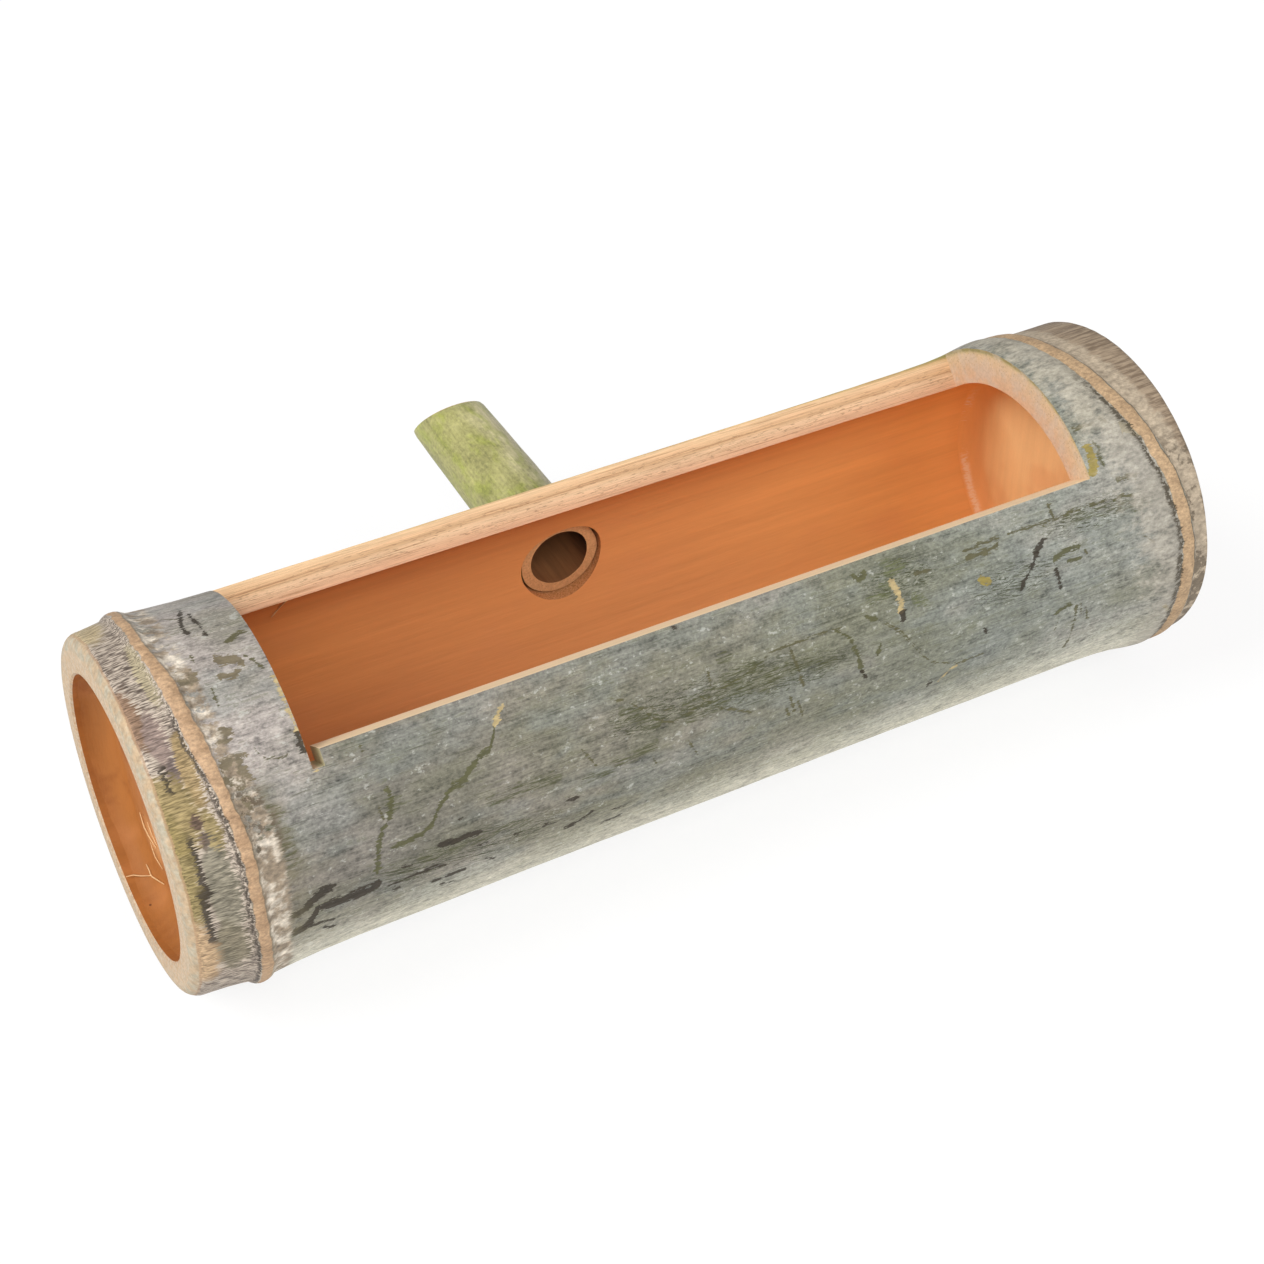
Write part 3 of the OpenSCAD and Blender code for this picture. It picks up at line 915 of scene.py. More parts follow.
def group(build, kind="NodeSocketColor"):
    """Turns a function of a graph and of named inputs into a node group with one result."""
    tree = bpy.data.node_groups.new(build.__name__, "ShaderNodeTree")
    keys = list(inspect.signature(build).parameters)[1:]
    for key in keys:
        coloured = key in ("colour", "tone", "turn", "place")
        tree.interface.new_socket(name=key, in_out="INPUT",
                                  socket_type="NodeSocketColor" if coloured else "NodeSocketFloat")
    tree.interface.new_socket(name="result", in_out="OUTPUT", socket_type=kind)
    g = Graph(tree)
    entry = tree.nodes.new("NodeGroupInput")
    result = build(g, **{key: Value(g, entry.outputs[key]) for key in keys})
    g.fill(tree.nodes.new("NodeGroupOutput").inputs[0], result)
    return tree


def level_group(build):
    """Turns a function into a node group whose result is a number."""
    return group(build, "NodeSocketFloat")


def material(name, colour, height, relief, specular, roughness):
    """A material from groups that read only the place on the object."""
    made = bpy.data.materials.new(name)
    made.use_nodes = True
    g = Graph(made.node_tree)
    shader = g.tree.nodes["Principled BSDF"]
    g.fill(shader.inputs["Base Color"], g.call(colour))
    level = roughness if isinstance(roughness, float) else g.call(roughness)
    g.fill(shader.inputs["Roughness"], level)
    g.fill(shader.inputs["Specular IOR Level"], specular)
    bump = {"Strength": 1.0, "Distance": relief * MM, "Height": g.call(height)}
    g.fill(shader.inputs["Normal"], g.node("ShaderNodeBump", bump))
    return made


# marks on the skin
@group
def ink(g, kind):
    stops = [(number / len(KINDS), colour) for number, colour in enumerate(KIND_COLOURS.values())]
    return g.gradient(kind, stops, constant=True)


def pack_marks():
    """Shares the marks out over tracks: along the culm (0) if they run that way, or round it (1)."""
    tracks = {}
    for kind, *marks in MARKS:
        for half, *numbers in marks:
            points = list(zip(numbers[::2], numbers[1::2]))
            run = abs(points[-1][0] - points[0][0])
            sweep = abs(points[-1][1] - points[0][1]) * MM_PER_DEGREE
            way = int(run < sweep)
            kept = []
            for point in sorted(points, key=lambda point: point[way]):
                if not kept or point[way] - kept[-1][0] > 0.4:
                    kept.append((point[way], point[1 - way]))
            if len(kept) < 2:
                continue
            start, end = kept[0][0] - MARK_GAP, kept[-1][0] + MARK_GAP
            rows = tracks.setdefault((way, kind in SOFT_KINDS), [])
            free = (track for track in rows
                    if all(end < other[0][0] or start > other[-1][0] for _, _, other in track))
            track = next(free, None)
            if track is None:
                track = []
                rows.append(track)
            track.append((kind, half, kept))
    return tracks


def track_group(marks, way, soft):
    """A group that paints the marks of one track over a colour."""
    spans = (MARK_X, MARK_THETA)
    (low, high), (side_low, side_high) = spans[way], spans[1 - way]
    rows = []
    for kind, half, points in sorted(marks, key=lambda mark: mark[2][0][0]):
        kind_level = (KINDS.index(kind) + 0.5) / len(KINDS)
        (a0, b0), (a1, b1) = points[0], points[-1]
        outline = [(a0 - MARK_RUN_OUT, b0, -1), *((a, b, half) for a, b in points),
                   (a1 + MARK_RUN_OUT, b1, -1)]
        for a, b, width in outline:
            rows.append(((a - low) / (high - low), (b - side_low) / (side_high - side_low),
                         (width + 1) / MARK_WIDEST, kind_level))
    unit = 1.0 if way else MM_PER_DEGREE

    @group
    def track(g, colour, place, side, wide, fine, tint, streaks):
        centre, width, kind = g.table(place, rows)
        centre = g.math("MULTIPLY_ADD", centre, (side_high - side_low) * unit, side_low * unit)
        edge = g.math("MULTIPLY_ADD", width, wide, fine) - g.gap(side, centre)
        if soft:
            mask = g.smooth(edge + streaks, -0.3, 1.0) * g.smooth(streaks, 0.26, 0.36) * 0.85
        else:
            mask = g.smooth(edge + (streaks - 0.3) * 3, 0.0, 0.3) * 0.92
        return g.mix(mask, colour, g.shade(g.call(ink, kind=kind), tint))

    return track


TRACKS = [(way, track_group(track, way, soft))
          for (way, soft), tracks in pack_marks().items() for track in tracks]


@group
def marks(g, colour, x, theta):
    fine = (g.noise(1.9, 0.5, 3.0, 0.65, 3.0) - 0.5) * 2.6 - 1.0
    jag = g.noise(3.0, 1.3, 3.0, 0.65, 9.0) - 0.5
    wide = jag * MARK_WIDEST * 1.6 + MARK_WIDEST
    tint = jag * 1.4 + 1.0
    streaks = g.noise(6.0, 0.42, 3.0, 0.7, 5.0) * 0.6
    ways = ((g.triple(g.share(x, *MARK_X)), theta * MM_PER_DEGREE),
            (g.triple(g.share(theta, *MARK_THETA)), x))
    for way, track in TRACKS:
        place, side = ways[way]
        colour = g.call(track, colour=colour, place=place, side=side, wide=wide, fine=fine,
                        tint=tint, streaks=streaks)
    return colour


# the skin at the nodes and between them
def scar_edges(g, turn, table):
    """The edges of a scar band at this angle, from its table."""
    rows = [((row[0] + 180) / 360, *((q - SCAR_LOW) / (SCAR_HIGH - SCAR_LOW) for q in row[1:]))
            for row in table]
    levels = g.table(turn, rows)
    return [g.math("MULTIPLY_ADD", level, SCAR_HIGH - SCAR_LOW, SCAR_LOW) for level in levels]


@group
def patch(g, colour, tone, along, theta, hair, middle, reach, angle, spread):
    inside = g.oval(along, theta, middle, reach, angle, spread) + hair * 1.4
    inside = g.smooth(inside, 1.95, 1.35)
    return g.mix(inside * 0.9, colour, g.shade(tone, hair * 2.8 - 0.4))


@group
def fringe(g, colour, along, theta, middle, angle, spread, thick):
    line = g.smooth(g.gap(along, middle), thick, thick * 0.5)
    line = line * g.smooth(g.gap(theta, angle), spread, spread * 0.7)
    return g.mix(line * 0.9, colour, (56, 48, 38))


def scar_group(light, dark, rim_colour, rim_strength):
    """A group that paints the light scar band between its tip side and its base side."""
    @group
    def scar(g, colour, along, tip_side, base_side, mottle):
        grain = g.noise(1.2, 0.7, 3.0, 0.7, 14.0)
        wavy = along + (g.noise(6, 3.2, 2.0, 0.5, 15.0) - 0.5) * 1.6
        inside = g.smooth(wavy, tip_side, tip_side + 0.3)
        rim = g.smooth(wavy, base_side + 0.2, base_side - 0.4) * inside
        inside = inside * g.smooth(wavy, base_side - 0.35, base_side - 0.65)
        made = g.shade(g.mix(g.smooth(mottle, 0.35, 0.65), dark, light), 0.2 + grain * 1.56)
        return g.mix(inside, g.mix(rim * rim_strength, colour, rim_colour), made)

    return scar


left_scar = scar_group((188, 156, 123), (166, 135, 104), (112, 96, 70), 0.55)
right_scar = scar_group((184, 155, 121), (168, 140, 108), (92, 80, 60), 0.8)


@group
def left_node(g, colour, along, theta, turn, mottle, specks, streaks, hair):
    """The band beside the left end, the scar and its wax."""
    tip_side, base_side, wax_edge = scar_edges(g, turn, LEFT_SCAR)
    stain = g.smooth(along, wax_edge + 7.0, wax_edge) * g.smooth(theta, -36, -52)
    stain = stain * g.smooth(theta, -112, -95) * g.smooth(mottle, 0.36, 0.6)
    colour = g.mix(stain * 0.6, colour, (106, 98, 72))
    chipped = g.smooth(g.gap(theta, -56), 14, 8) * g.smooth(along, wax_edge + 2.6, wax_edge)
    chipped = chipped * g.smooth(specks + mottle * 0.6, 0.76, 0.84)
    colour = g.mix(chipped * 0.8, colour, (92, 78, 62))
    ragged = along + (hair - 0.5) * 3.6 + (mottle - 0.5) * 2.4
    wax = g.smooth(ragged, wax_edge + 0.9, wax_edge - 0.9)
    wax = wax * g.smooth(along, base_side - 1.0, base_side + 0.4)
    flecked = g.noise(5, 3.4, 4.0, 0.7, 12.0) + g.smooth(theta, -58, -70) * 0.2
    wax = wax * g.smooth(flecked, 0.43, 0.52)
    wax_colour = g.mix(g.smooth(mottle, 0.42, 0.62), (148, 132, 112), (208, 197, 181))
    colour = g.mix(wax * 0.95, colour, g.shade(wax_colour, specks * 2.0 + mottle * 0.6 - 0.3))
    band = g.mix(g.smooth(hair, 0.36, 0.6), (106, 93, 83), (175, 162, 147))
    band = g.shade(band, streaks * 1.0 + hair * 1.6 - 0.3)
    furry = along + (hair - 0.5) * 5.0
    furry_theta = theta + (mottle - 0.5) * 9.0
    for tone, middle, reach, angle, spread in LEFT_PATCHES:
        band = g.call(patch, colour=band, tone=tone, along=furry, theta=furry_theta, hair=hair,
                      middle=middle, reach=reach, angle=angle, spread=spread)
    for middle, angle, spread, thick in LEFT_FRINGES:
        band = g.call(fringe, colour=band, along=furry, theta=theta, middle=middle,
                      angle=angle, spread=spread, thick=thick)
    colour = g.mix(g.smooth(along, tip_side + 0.2, tip_side - 0.2), colour, band)
    colour = g.call(left_scar, colour=colour, along=along, tip_side=tip_side, base_side=base_side,
                    mottle=mottle)
    # A dark jagged line along the left foot of the raised ring: painted shadow
    crack = g.gap(along + (hair - 0.5) * 2.2 + (mottle - 0.5) * 2.4, tip_side - 0.5)
    crack = g.smooth(crack, 0.6, 0.2) * g.smooth(theta, -14, -24) * g.smooth(theta, -150, -120)
    return g.mix(crack * g.smooth(specks, 0.36, 0.5) * 0.85, colour, (58, 50, 42))


@group
def right_node(g, colour, along, theta, turn, mottle, specks, streaks, hair):
    """The frost before the right ring, the scar and the band beyond it."""
    tip_side, base_side = scar_edges(g, turn, RIGHT_SCAR)
    near = g.smooth(along + (mottle - 0.5) * 26 + (specks - 0.5) * 12, -17, -6)
    near = near * g.smooth(along, tip_side + 0.3, tip_side)
    pinkish = g.shade((160, 153, 141), specks * 1.7 + mottle * 0.9 - 0.3)
    frosty = g.shade((166, 158, 142), specks * 1.7 + mottle * 0.9 - 0.3)
    colour = g.mix(near * 0.75, colour, g.mix(g.smooth(theta, -18, -42), frosty, pinkish))
    grey = g.mix(g.smooth(streaks + hair * 0.4, 0.56, 0.84), (118, 101, 83), (158, 140, 118))
    grey = g.shade(grey, 0.76 + hair * 0.24 + mottle * 0.24)
    white = along + (hair - 0.5) * 3 + (mottle - 0.5) * 9
    white = g.smooth(white, base_side + 7.5, base_side + 5.0)
    pale = g.shade((172, 157, 136), specks * 1.8 + mottle * 0.6 - 0.2)
    outside = g.smooth(along, base_side - 0.3, base_side + 0.3)
    beyond = g.mix(white * 0.9, grey, pale)
    dark = g.smooth(g.noise(8, 7, 4.0, 0.7, 17.0), 0.5, 0.56) * g.smooth(theta, -30, -46)
    dark = dark * g.smooth(theta, -150, -115)
    colour = g.mix(outside, colour, g.mix(dark * 0.7, beyond, (84, 72, 56)))
    colour = g.call(right_scar, colour=colour, along=along, tip_side=tip_side, base_side=base_side,
                    mottle=mottle)
    # A dark jagged fringe just before the scar: partly dark hairs, partly a painted shadow line where the
    # raised skin meets the scar
    fringe = along - tip_side + (hair - 0.5) * 2.6 + (mottle - 0.5) * 5
    fringe = g.smooth(fringe, -2.8, -1.2) * g.smooth(fringe, 0.35, -0.1)
    fringe = fringe * g.smooth(theta, 2, -18) * g.smooth(specks + streaks * 0.6, 0.68, 0.8)
    return g.mix(fringe * 0.9, colour, (70, 62, 48))


@group
def bare_skin(g, x, z, mottle, specks, streaks):
    """The skin between the nodes, under its wax bloom."""
    clouds = g.noise(26, 15, 2.0, 0.5, 1.0)
    grit = g.noise(0.9, 0.6, 2.0, 0.6, 21.0)
    lines = g.noise(24, 0.5, 2.0, 0.6, 22.0)
    frost = g.noise(1.8, 1.3, 3.0, 0.65, 23.0)
    colour = g.gradient(g.share(x, LEFT_END, RIGHT_END), SKIN_ALONG)
    # The top of the skin near the left end is lighter and mauve: partly a pale bloom, partly painted
    # light on skin that faces up
    lilac = g.smooth(z, 12, 30) * g.smooth(x, -100, -122)
    colour = g.mix(lilac * 0.75, colour, (176, 167, 161))
    colour = g.mix(g.smooth(clouds, 0.42, 0.66) * 0.5, colour, (106, 106, 86))
    bluish = g.smooth(g.noise(30, 14, 3.0, 0.6, 29.0), 0.46, 0.62)
    colour = g.mix(bluish * 0.4, colour, (126, 131, 127))
    colour = g.mix(g.smooth(clouds, 0.46, 0.3) * 0.4, colour, (148, 141, 132))
    # Lighter towards the underside: painted light standing in for the white floor's bounce, over a paler
    # waxy underside
    colour = g.mix(g.smooth(z, 0, -32) * 0.9, colour, (222, 217, 198))
    level = mottle * 1.4 + streaks * 1.0 + specks * 1.2 + grit * 1.2 + lines * 0.7 - 1.72
    colour = g.shade(colour, level)
    dark = g.smooth(streaks + mottle * 0.8, 0.97, 1.08) * g.smooth(grit, 0.38, 0.55)
    colour = g.mix(dark * 0.55, colour, (86, 87, 64))
    pale = g.smooth(frost + mottle * 0.5, 0.86, 0.98)
    colour = g.mix(pale * 0.42, colour, (202, 202, 194))
    roots = g.smooth(g.noise(13, 0.34, 3.0, 0.7, 24.0), 0.58, 0.66) * g.smooth(clouds, 0.44, 0.56)
    return g.mix(roots * 0.62, colour, (70, 71, 50))


@level_group
def stroke_spot(g, x, theta, middle, reach, angle, spread):
    return g.smooth(g.oval(x, theta, middle, reach, angle, spread), 1.2, 0.2)


@group
def strokes(g, colour, x, theta, specks):
    covered = 0.0
    for middle, reach, angle, spread in STROKE_PLACES:
        here = g.call(stroke_spot, x=x, theta=theta, middle=middle, reach=reach, angle=angle,
                      spread=spread)
        covered = here + covered
    rising = g.strokes(10, 0.36, 0.2, 3.0)
    falling = g.strokes(7, 0.34, -0.3, 11.0)
    upright = g.strokes(4, 0.3, 1.3, 23.0)
    lines = g.math("MAXIMUM", g.smooth(rising, 0.53, 0.6), g.smooth(falling, 0.57, 0.63))
    lines = g.math("MAXIMUM", lines, g.smooth(upright, 0.63, 0.68))
    shown = lines * g.math("MINIMUM", covered, 1.0) * g.smooth(specks, 0.3, 0.5)
    return g.mix(shown * 0.9, colour, (60, 62, 38))


@group
def left_shoulder(g, colour, x, mottle, specks, hair):
    """The sanded shoulder of the left end."""
    sanded = g.smooth(x - LEFT_END + hair * 0.9 + mottle * 1.2, 2.75, 2.35)
    face = g.mix(g.smooth(mottle, 0.35, 0.65), (190, 164, 132), (182, 173, 152))
    colour = g.mix(sanded, colour, g.shade(face, 0.44 + specks * 1.0))
    edge = g.smooth(g.gap(x - LEFT_END + mottle * 1.2, 2.3), 0.4, 0.15)
    return g.mix(edge * 0.6, colour, (170, 138, 106))


@group
def skin_colour(g):
    x, y, z = map(g.axis, "xyz")
    mottle = g.noise(5.5, 3.6, 4.0, 0.62, 2.0)
    specks = g.noise(2.1, 1.3, 3.0, 0.65, 4.0)
    streaks = g.noise(16, 1.1, 3.0, 0.6, 6.0)
    hair = g.noise(3.2, 0.42, 2.0, 0.6, 8.0)
    theta = g.angle()
    turn = g.triple(g.share(theta, -180, 180))
    made = g.call(bare_skin, x=x, z=z, mottle=mottle, specks=specks, streaks=streaks)
    made = g.call(strokes, colour=made, x=x, theta=theta, specks=specks)
    made = g.call(marks, colour=made, x=x, theta=theta)
    fields = {"theta": theta, "turn": turn, "mottle": mottle, "specks": specks,
              "streaks": streaks, "hair": hair}
    left = x + z * LEFT_RING_LEAN - LEFT_RING_X
    made = g.call(left_node, colour=made, along=left, **fields)
    right = x + z * RIGHT_RING_LEAN + y * RIGHT_RING_TURN - RIGHT_RING_X
    made = g.call(right_node, colour=made, along=right, **fields)
    return g.call(left_shoulder, colour=made, x=x, mottle=mottle, specks=specks, hair=hair)


@level_group
def skin_roughness(g):
    return 0.47 + g.noise(5.5, 3.6, 4.0, 0.62, 2.0) * 0.3


@level_group
def skin_height(g):
    mottle = g.noise(5.5, 3.6, 4.0, 0.62, 2.0)
    streaks = g.noise(16, 1.1, 3.0, 0.6, 6.0)
    return mottle * 0.5 + streaks * 0.7 + g.noise(2.1, 0.8, 3.0, 0.65, 4.0) * 0.5


# cut faces, the inside and the outlet cane
@group
def grain_colour(g):
    """Sawn end grain: pale pith with small dots of fibre, closer together under the skin."""
    x, y, z = map(g.axis, "xyz")
    depth = g.share(g.root(y, z), 48.5, 38.0)
    smear = g.noise(30, 5.0, 3.0, 0.6, 1.0)
    fine = g.noise(30, 0.8, 2.0, 0.6, 2.0)
    made = g.gradient(depth, (
        (0.0, (150, 140, 92)), (0.05, (196, 176, 132)), (0.12, (213, 187, 150)),
        (0.5, (214, 182, 148)), (0.85, (216, 178, 144)), (1.0, (212, 160, 116)),
    ))
    made = g.mix(g.smooth(smear, 0.4, 0.65) * 0.5, made, (206, 190, 172))
    made = g.shade(made, 0.76 + fine * 0.44)
    spots = g.smooth(g.cells(40, 0.95, 3.0), 0.3, 0.16) * g.smooth(depth, 0.9, 0.1)
    made = g.mix(spots * 0.45, made, (158, 122, 88))
    kerf = g.smooth(x, -112.6, -111.6) * g.smooth(x, -109, -110) * g.smooth(y, -24, -27)
    made = g.mix(kerf * 0.9, made, (176, 170, 136))
    chalk = g.noise(1.6, 1.3, 4.0, 0.7, 5.0)
    sanded = g.mix(g.smooth(chalk, 0.4, 0.6), (190, 162, 128), (194, 180, 156))
    return g.mix(g.smooth(x, -140, -145) * 0.8, made, g.shade(sanded, 0.42 + fine * 0.96))


@level_group
def grain_height(g):
    return g.noise(30, 0.8, 2.0, 0.6, 2.0)


@group
def split_colour(g):
    """The long cut faces: fibres along the culm, from the green skin to the pinkish pith."""
    y, z = map(g.axis, "yz")
    wander = g.noise(40, 2.2, 2.0, 0.5, 1.0)
    fibre = g.noise(30, 0.32, 3.0, 0.6, 2.0)
    fine = g.noise(9, 0.2, 2.0, 0.6, 3.0)
    depth = g.share(g.root(y, z) + wander * 1.6, 48.8, 39.8)
    made = g.gradient(depth, (
        (0.0, (150, 142, 88)), (0.05, (196, 166, 116)), (0.12, (228, 194, 152)),
        (0.3, (222, 182, 140)), (0.42, (202, 162, 122)), (0.58, (222, 186, 148)),
        (0.75, (212, 170, 134)), (1.0, (206, 156, 122)),
    ))
    made = g.shade(made, 0.36 + fibre * 0.78 + fine * 0.46)
    lines = g.smooth(fibre, 0.43, 0.33) * g.smooth(depth, 0.02, 0.2)
    made = g.mix(lines * 0.6, made, (172, 122, 78))
    pits = g.smooth(g.noise(2.4, 0.34, 2.0, 0.6, 5.0), 0.58, 0.66)
    pits = pits * g.smooth(depth, 0.2, 0.4) * g.smooth(depth, 1.0, 0.75)
    made = g.mix(pits * 0.55, made, (134, 98, 66))
    # The front cut face is mixed towards near white: painted light on that face, over its own cream pith
    return g.mix(g.smooth(y, 0, -10) * 0.7, made, (255, 230, 192))


@level_group
def split_height(g):
    return g.noise(30, 0.32, 3.0, 0.6, 2.0) * 0.8 + g.noise(9, 0.2, 2.0, 0.6, 3.0) * 0.3


def lining_material(name, along, upright):
    """The orange inside of the culm or of a septum, whose streaks stand upright."""
    axis = 2 if upright else 0

    @group
    def colour(g):
        x, y, z = map(g.axis, "xyz")
        streaks = g.noise(70, 2.2, 3.0, 0.55, 1.0, axis)
        bands = g.noise(160, 9, 2.0, 0.5, 2.0, axis)
        clouds = g.noise(30, 18, 2.0, 0.5, 3.0)
        fine = g.noise(8, 0.6, 2.0, 0.6, 4.0)
        length = g.share(x, LEFT_END, RIGHT_END)
        made = g.gradient(length, along)
        if upright:
            made = g.mix(g.smooth(g.root(y, z), 30, 38.2), made, g.gradient(length, LINING_ALONG))
            beyond = g.smooth(x + z * RIGHT_SEPTUM_LEAN, RIGHT_SEPTUM_X - 0.5, RIGHT_SEPTUM_X + 0.5)
            made = g.mix(beyond, made, (198, 130, 76))
            made = g.shade(made, 0.8 + streaks * 0.16 + bands * 0.18 + fine * 0.06)
        else:
            made = g.shade(made, 0.7 + streaks * 0.24 + bands * 0.24 + fine * 0.12)
        made = g.mix(g.smooth(clouds, 0.5, 0.7) * 0.25, made, (216, 146, 96))
        in_cup = g.smooth(x, -137, -143)
        blotch = g.smooth(g.noise(12, 9, 4.0, 0.6, 7.0), 0.48, 0.7)
        made = g.mix(blotch * in_cup * 0.45, made, (132, 74, 30))
        pit = g.smooth(g.cells(7, 7, 9.0), 0.07, 0.03)
        made = g.mix(pit * in_cup * 0.8, made, (82, 40, 16))
        pale = g.smooth(g.root(y - 8, z + 20) + (clouds - 0.5) * 8, 9, 2) * in_cup
        made = g.mix(pale * 0.45, made, (224, 168, 108))
        # A whitish streak follows the right septum's fillet: a painted highlight of the fillet's sheen
        streak = g.smooth(g.gap(x + z * RIGHT_SEPTUM_LEAN, 129.3), 1.7, 0.3)
        streak = streak * g.smooth(z, 22, 6) * g.smooth(clouds + fine * 0.5, 0.62, 0.8)
        return g.mix(streak * 0.75, made, (246, 218, 184))

    @level_group
    def roughness(g):
        return 0.5 + g.noise(30, 18, 2.0, 0.5, 3.0) * 0.2

    @level_group
    def height(g):
        streaks = g.noise(70, 2.2, 3.0, 0.55, 1.0, axis)
        return streaks * 0.5 + g.noise(8, 0.6, 2.0, 0.6, 4.0, axis) * 0.25

    return material(name, colour, height, 0.25, 0.25, roughness)


@group
def fibre_colour(g):
    return g.mix(g.noise(3, 3, 3.0, 0.6, 1.0), (212, 168, 118), (232, 196, 148))


@level_group
def fibre_height(g):
    return g.noise(1.5, 1.5, 3.0, 0.6, 2.0)


@group
def bored_colour(g):
    """The wall of the outlet cane's hole, torn and browned by the drill."""
    fuzz = g.noise(0.5, 0.5, 3.0, 0.65, 1.0)
    return g.gradient(fuzz, ((0.25, (146, 92, 52)), (0.5, (196, 134, 84)), (0.75, (214, 160, 112))))


@level_group
def bored_height(g):
    return g.noise(0.9, 0.9, 3.0, 0.65, 1.0)


@group
def cane_skin_colour(g):
    x = g.axis("x")
    clouds = g.noise(16, 8, 3.0, 0.55, 1.0, 1)
    blotch = g.noise(11, 5, 4.0, 0.62, 2.0, 1)
    lines = g.noise(14, 0.8, 3.0, 0.6, 4.0, 1)
    specks = g.noise(1.6, 1.0, 3.0, 0.7, 3.0, 1)
    pale = g.smooth(x + (clouds - 0.5) * 22, TUBE_X - 5, TUBE_X + 8)
    made = g.mix(pale, (160, 156, 100), (196, 186, 148))
    made = g.mix(g.smooth(blotch, 0.46, 0.68) * 0.7, made, (150, 156, 68))
    made = g.shade(made, clouds * 0.9 + specks * 1.3 + lines * 0.8 - 0.5)
    dark = g.smooth(specks + clouds * 0.5, 0.72, 0.84) * g.smooth(x, TUBE_X + 2, TUBE_X + 9)
    return g.mix(dark * 0.7, made, (122, 112, 94))


@level_group
def cane_skin_height(g):
    return g.noise(14, 0.8, 3.0, 0.6, 4.0, 1) * 0.5 + g.noise(1.6, 1.0, 3.0, 0.7, 3.0, 1) * 0.4


@group
def cane_grain_colour(g):
    fine = g.noise(0.7, 0.7, 3.0, 0.6, 1.0)
    made = g.shade(g.mix(fine, (196, 146, 98), (214, 168, 120)), 0.76 + fine * 0.48)
    dots = g.smooth(g.cells(0.6, 0.6, 2.0), 0.3, 0.15)
    return g.mix(dots * 0.4, made, (140, 102, 66))


@level_group
def cane_grain_height(g):
    return g.noise(0.7, 0.7, 3.0, 0.6, 1.0)


@group
def cane_inside_colour(g):
    z = g.axis("z")
    streaks = g.noise(18, 1.6, 3.0, 0.6, 1.0, 1)
    # The bore is dark at the top and lighter below: painted shade deep in the bore and painted light on
    # its lower wall
    made = g.mix(g.smooth(z + (streaks - 0.5) * 8, -6, 2), (132, 88, 54), (44, 25, 15))
    return g.shade(made, 0.6 + streaks * 0.8)


@level_group
def cane_inside_height(g):
    return g.noise(18, 1.6, 3.0, 0.6, 1.0, 1)


# build the pieces
skin = material("culm_skin", skin_colour, skin_height, 0.35, 0.3, skin_roughness)
grain = material("culm_grain", grain_colour, grain_height, 0.15, 0.25, 0.6)
lining = lining_material("culm_lining", LINING_ALONG, False)
pith = lining_material("septum_pith", SEPTUM_ALONG, True)
split = material("culm_split", split_colour, split_height, 0.3, 0.3, 0.55)
bored = material("culm_bored", bored_colour, bored_height, 0.3, 0.2, 0.7)
cane_materials = [
    material("cane_skin", cane_skin_colour, cane_skin_height, 0.15, 0.4, 0.48),
    material("cane_grain", cane_grain_colour, cane_grain_height, 0.2, 0.25, 0.65),
    material("cane_inside", cane_inside_colour, cane_inside_height, 0.2, 0.2, 0.7),
]
fibre = material("culm_fibre", fibre_colour, fibre_height, 0.05, 0.3, 0.6)
culm = build_culm([skin, grain, lining, split, bored])
bore_tube_hole(culm, bored)
smooth_by_angle(culm, 38)
left_disc = build_septum("septum_left", LEFT_SEPTUM_X, 0.0, 1, pith)
right_disc = build_septum("septum_right", RIGHT_SEPTUM_X, RIGHT_SEPTUM_LEAN, -1, pith)
tube = build_tube(cane_materials)
fibres = build_fibres(fibre)
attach(fibres, "culm")

for piece, node, slot, body in (
    (culm, "culm_wall", "culm", "culm"),
    (left_disc, "left_septum", "septum", "culm"),
    (right_disc, "right_septum", "septum", "culm"),
    (tube, "outlet_tube", "thin_cane", "outlet"),
):
    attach(piece, body)
    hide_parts(node)


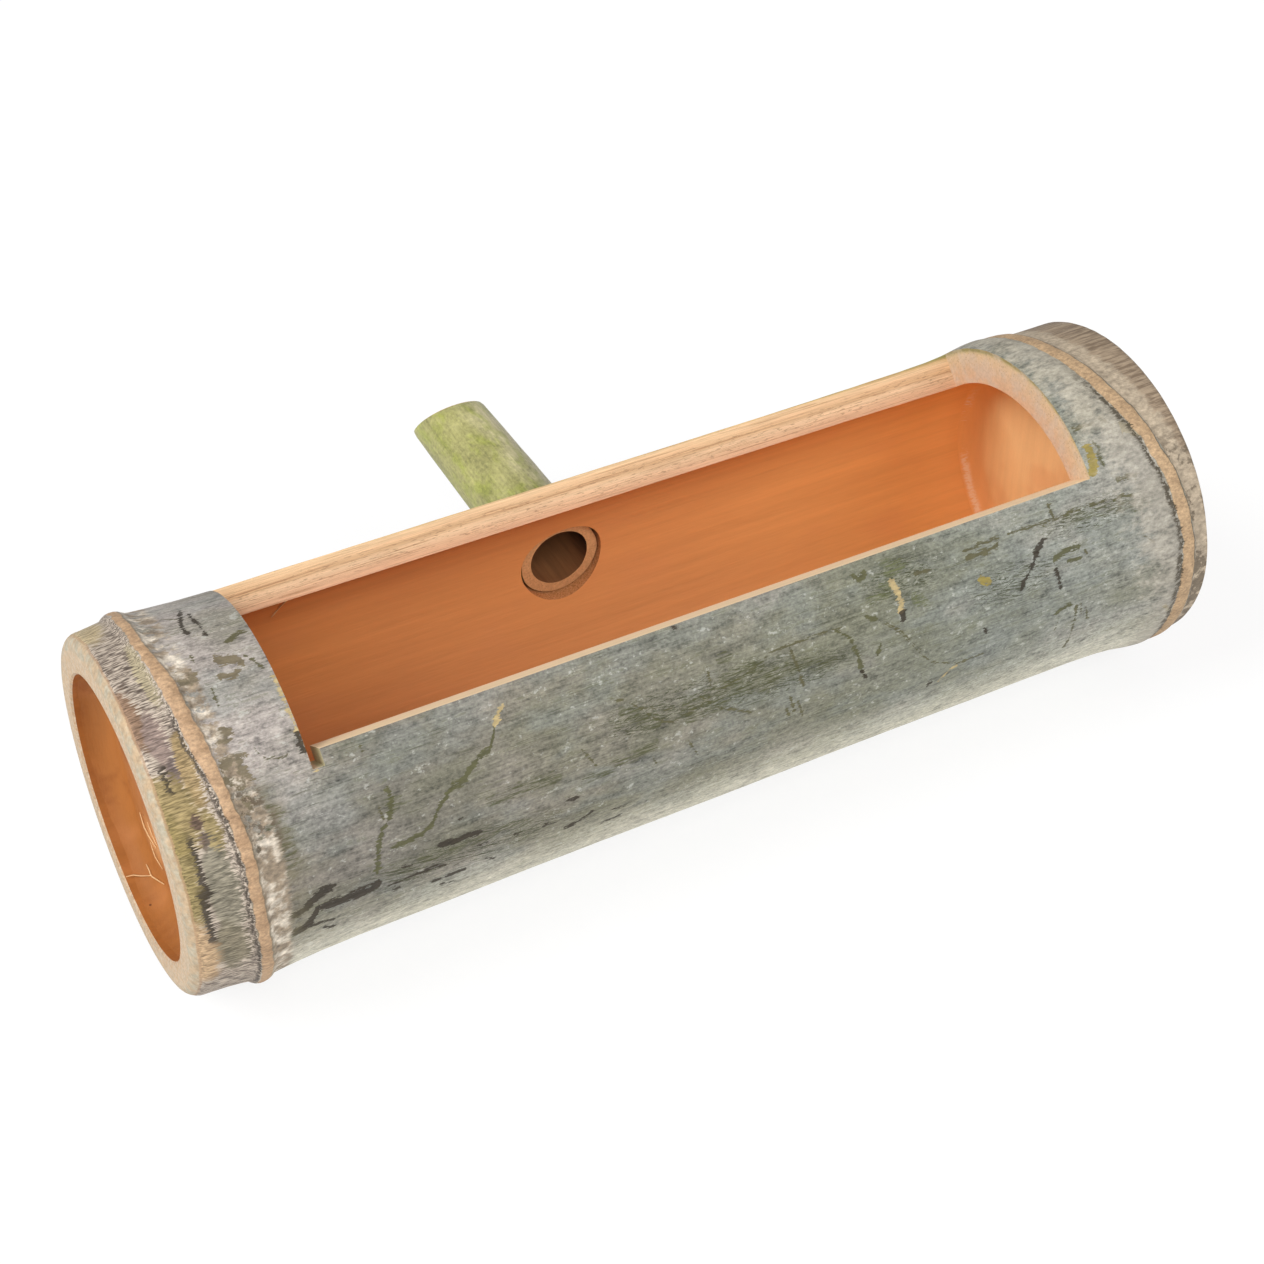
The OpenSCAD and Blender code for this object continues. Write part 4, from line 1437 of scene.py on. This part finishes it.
def floor_material():
    """White paper, which for the camera is plain white in part, so that the shadow stays faint,
    and far from the object in whole."""
    made = bpy.data.materials.new("floor_paper")
    made.use_nodes = True
    g = Graph(made.node_tree)
    shader = g.tree.nodes["Principled BSDF"]
    g.fill(shader.inputs["Roughness"], 0.9)
    g.fill(shader.inputs["Specular IOR Level"], 0.0)
    seen = g.node("ShaderNodeLightPath", {}, "Is Camera Ray")
    g.fill(shader.inputs["Base Color"], g.mix(seen, FLOOR_LEVEL, WHITE))
    plain = g.node("ShaderNodeEmission", {})
    spot = g.mapped([1 / FLOOR_SHADOW_REACH] * 3)
    near = g.node("ShaderNodeTexGradient", {"Vector": spot}, 1, gradient_type="SPHERICAL")
    level = {"Value": near, "From Max": 0.5, "To Min": 1.0, "To Max": FLOOR_PLAIN_SHARE}
    share = seen * g.node("ShaderNodeMapRange", level)
    blend = {0: share, 1: Value(g, shader.outputs[0]), 2: plain}
    g.fill(g.tree.nodes["Material Output"].inputs["Surface"], g.node("ShaderNodeMixShader", blend))
    return made


def build_floor():
    mesh = bpy.data.meshes.new("floor")
    corners = [(x * FLOOR_HALF, y * FLOOR_HALF, 0) for x, y in ((-1, -1), (1, -1), (1, 1), (-1, 1))]
    mesh.from_pydata(corners, [], [(0, 1, 2, 3)])
    mesh.materials.append(floor_material())
    floor = bpy.data.objects.new("floor", mesh)
    bpy.context.scene.collection.objects.link(floor)


def area_light(name, place, size, power):
    """A round lamp that looks at the origin."""
    lamp = bpy.data.lights.new(name, "AREA")
    lamp.shape = "DISK"
    lamp.size = size
    lamp.energy = power
    holder = bpy.data.objects.new(name, lamp)
    bpy.context.scene.collection.objects.link(holder)
    turn = (-Vector(place)).to_track_quat("-Z", "Y").to_matrix().to_4x4()
    holder.matrix_world = Matrix.Translation(place) @ turn


build_floor()
for lamp in LAMPS:
    area_light(*lamp)
world = bpy.data.worlds.new("studio")
bpy.context.scene.world = world
world.use_nodes = True
sky = world.node_tree.nodes["Background"]
sky_graph = Graph(world.node_tree)
sky_graph.fill(sky.inputs["Color"], WHITE)
camera_ray = sky_graph.node("ShaderNodeLightPath", {}, "Is Camera Ray")
sky_level = {"Value": camera_ray, "To Min": SKY_STRENGTH, "To Max": 1.0}
sky_graph.fill(sky.inputs["Strength"], sky_graph.node("ShaderNodeMapRange", sky_level))

camera_data = bpy.data.cameras.new("camera")
camera_data.lens = CAMERA_LENS
camera_data.sensor_width = SENSOR_WIDTH
camera = bpy.data.objects.new("camera", camera_data)
bpy.context.scene.collection.objects.link(camera)
pose = Matrix.Identity(4)
for row in range(3):
    pose[row][0] = CAMERA_RIGHT[row]
    pose[row][1] = -CAMERA_DOWN[row]
    pose[row][2] = -CAMERA_FORWARD[row]
    pose[row][3] = CAMERA_PLACE[row]
camera.matrix_world = pose
bpy.context.scene.camera = camera
bpy.context.scene.view_settings.view_transform = "Standard"
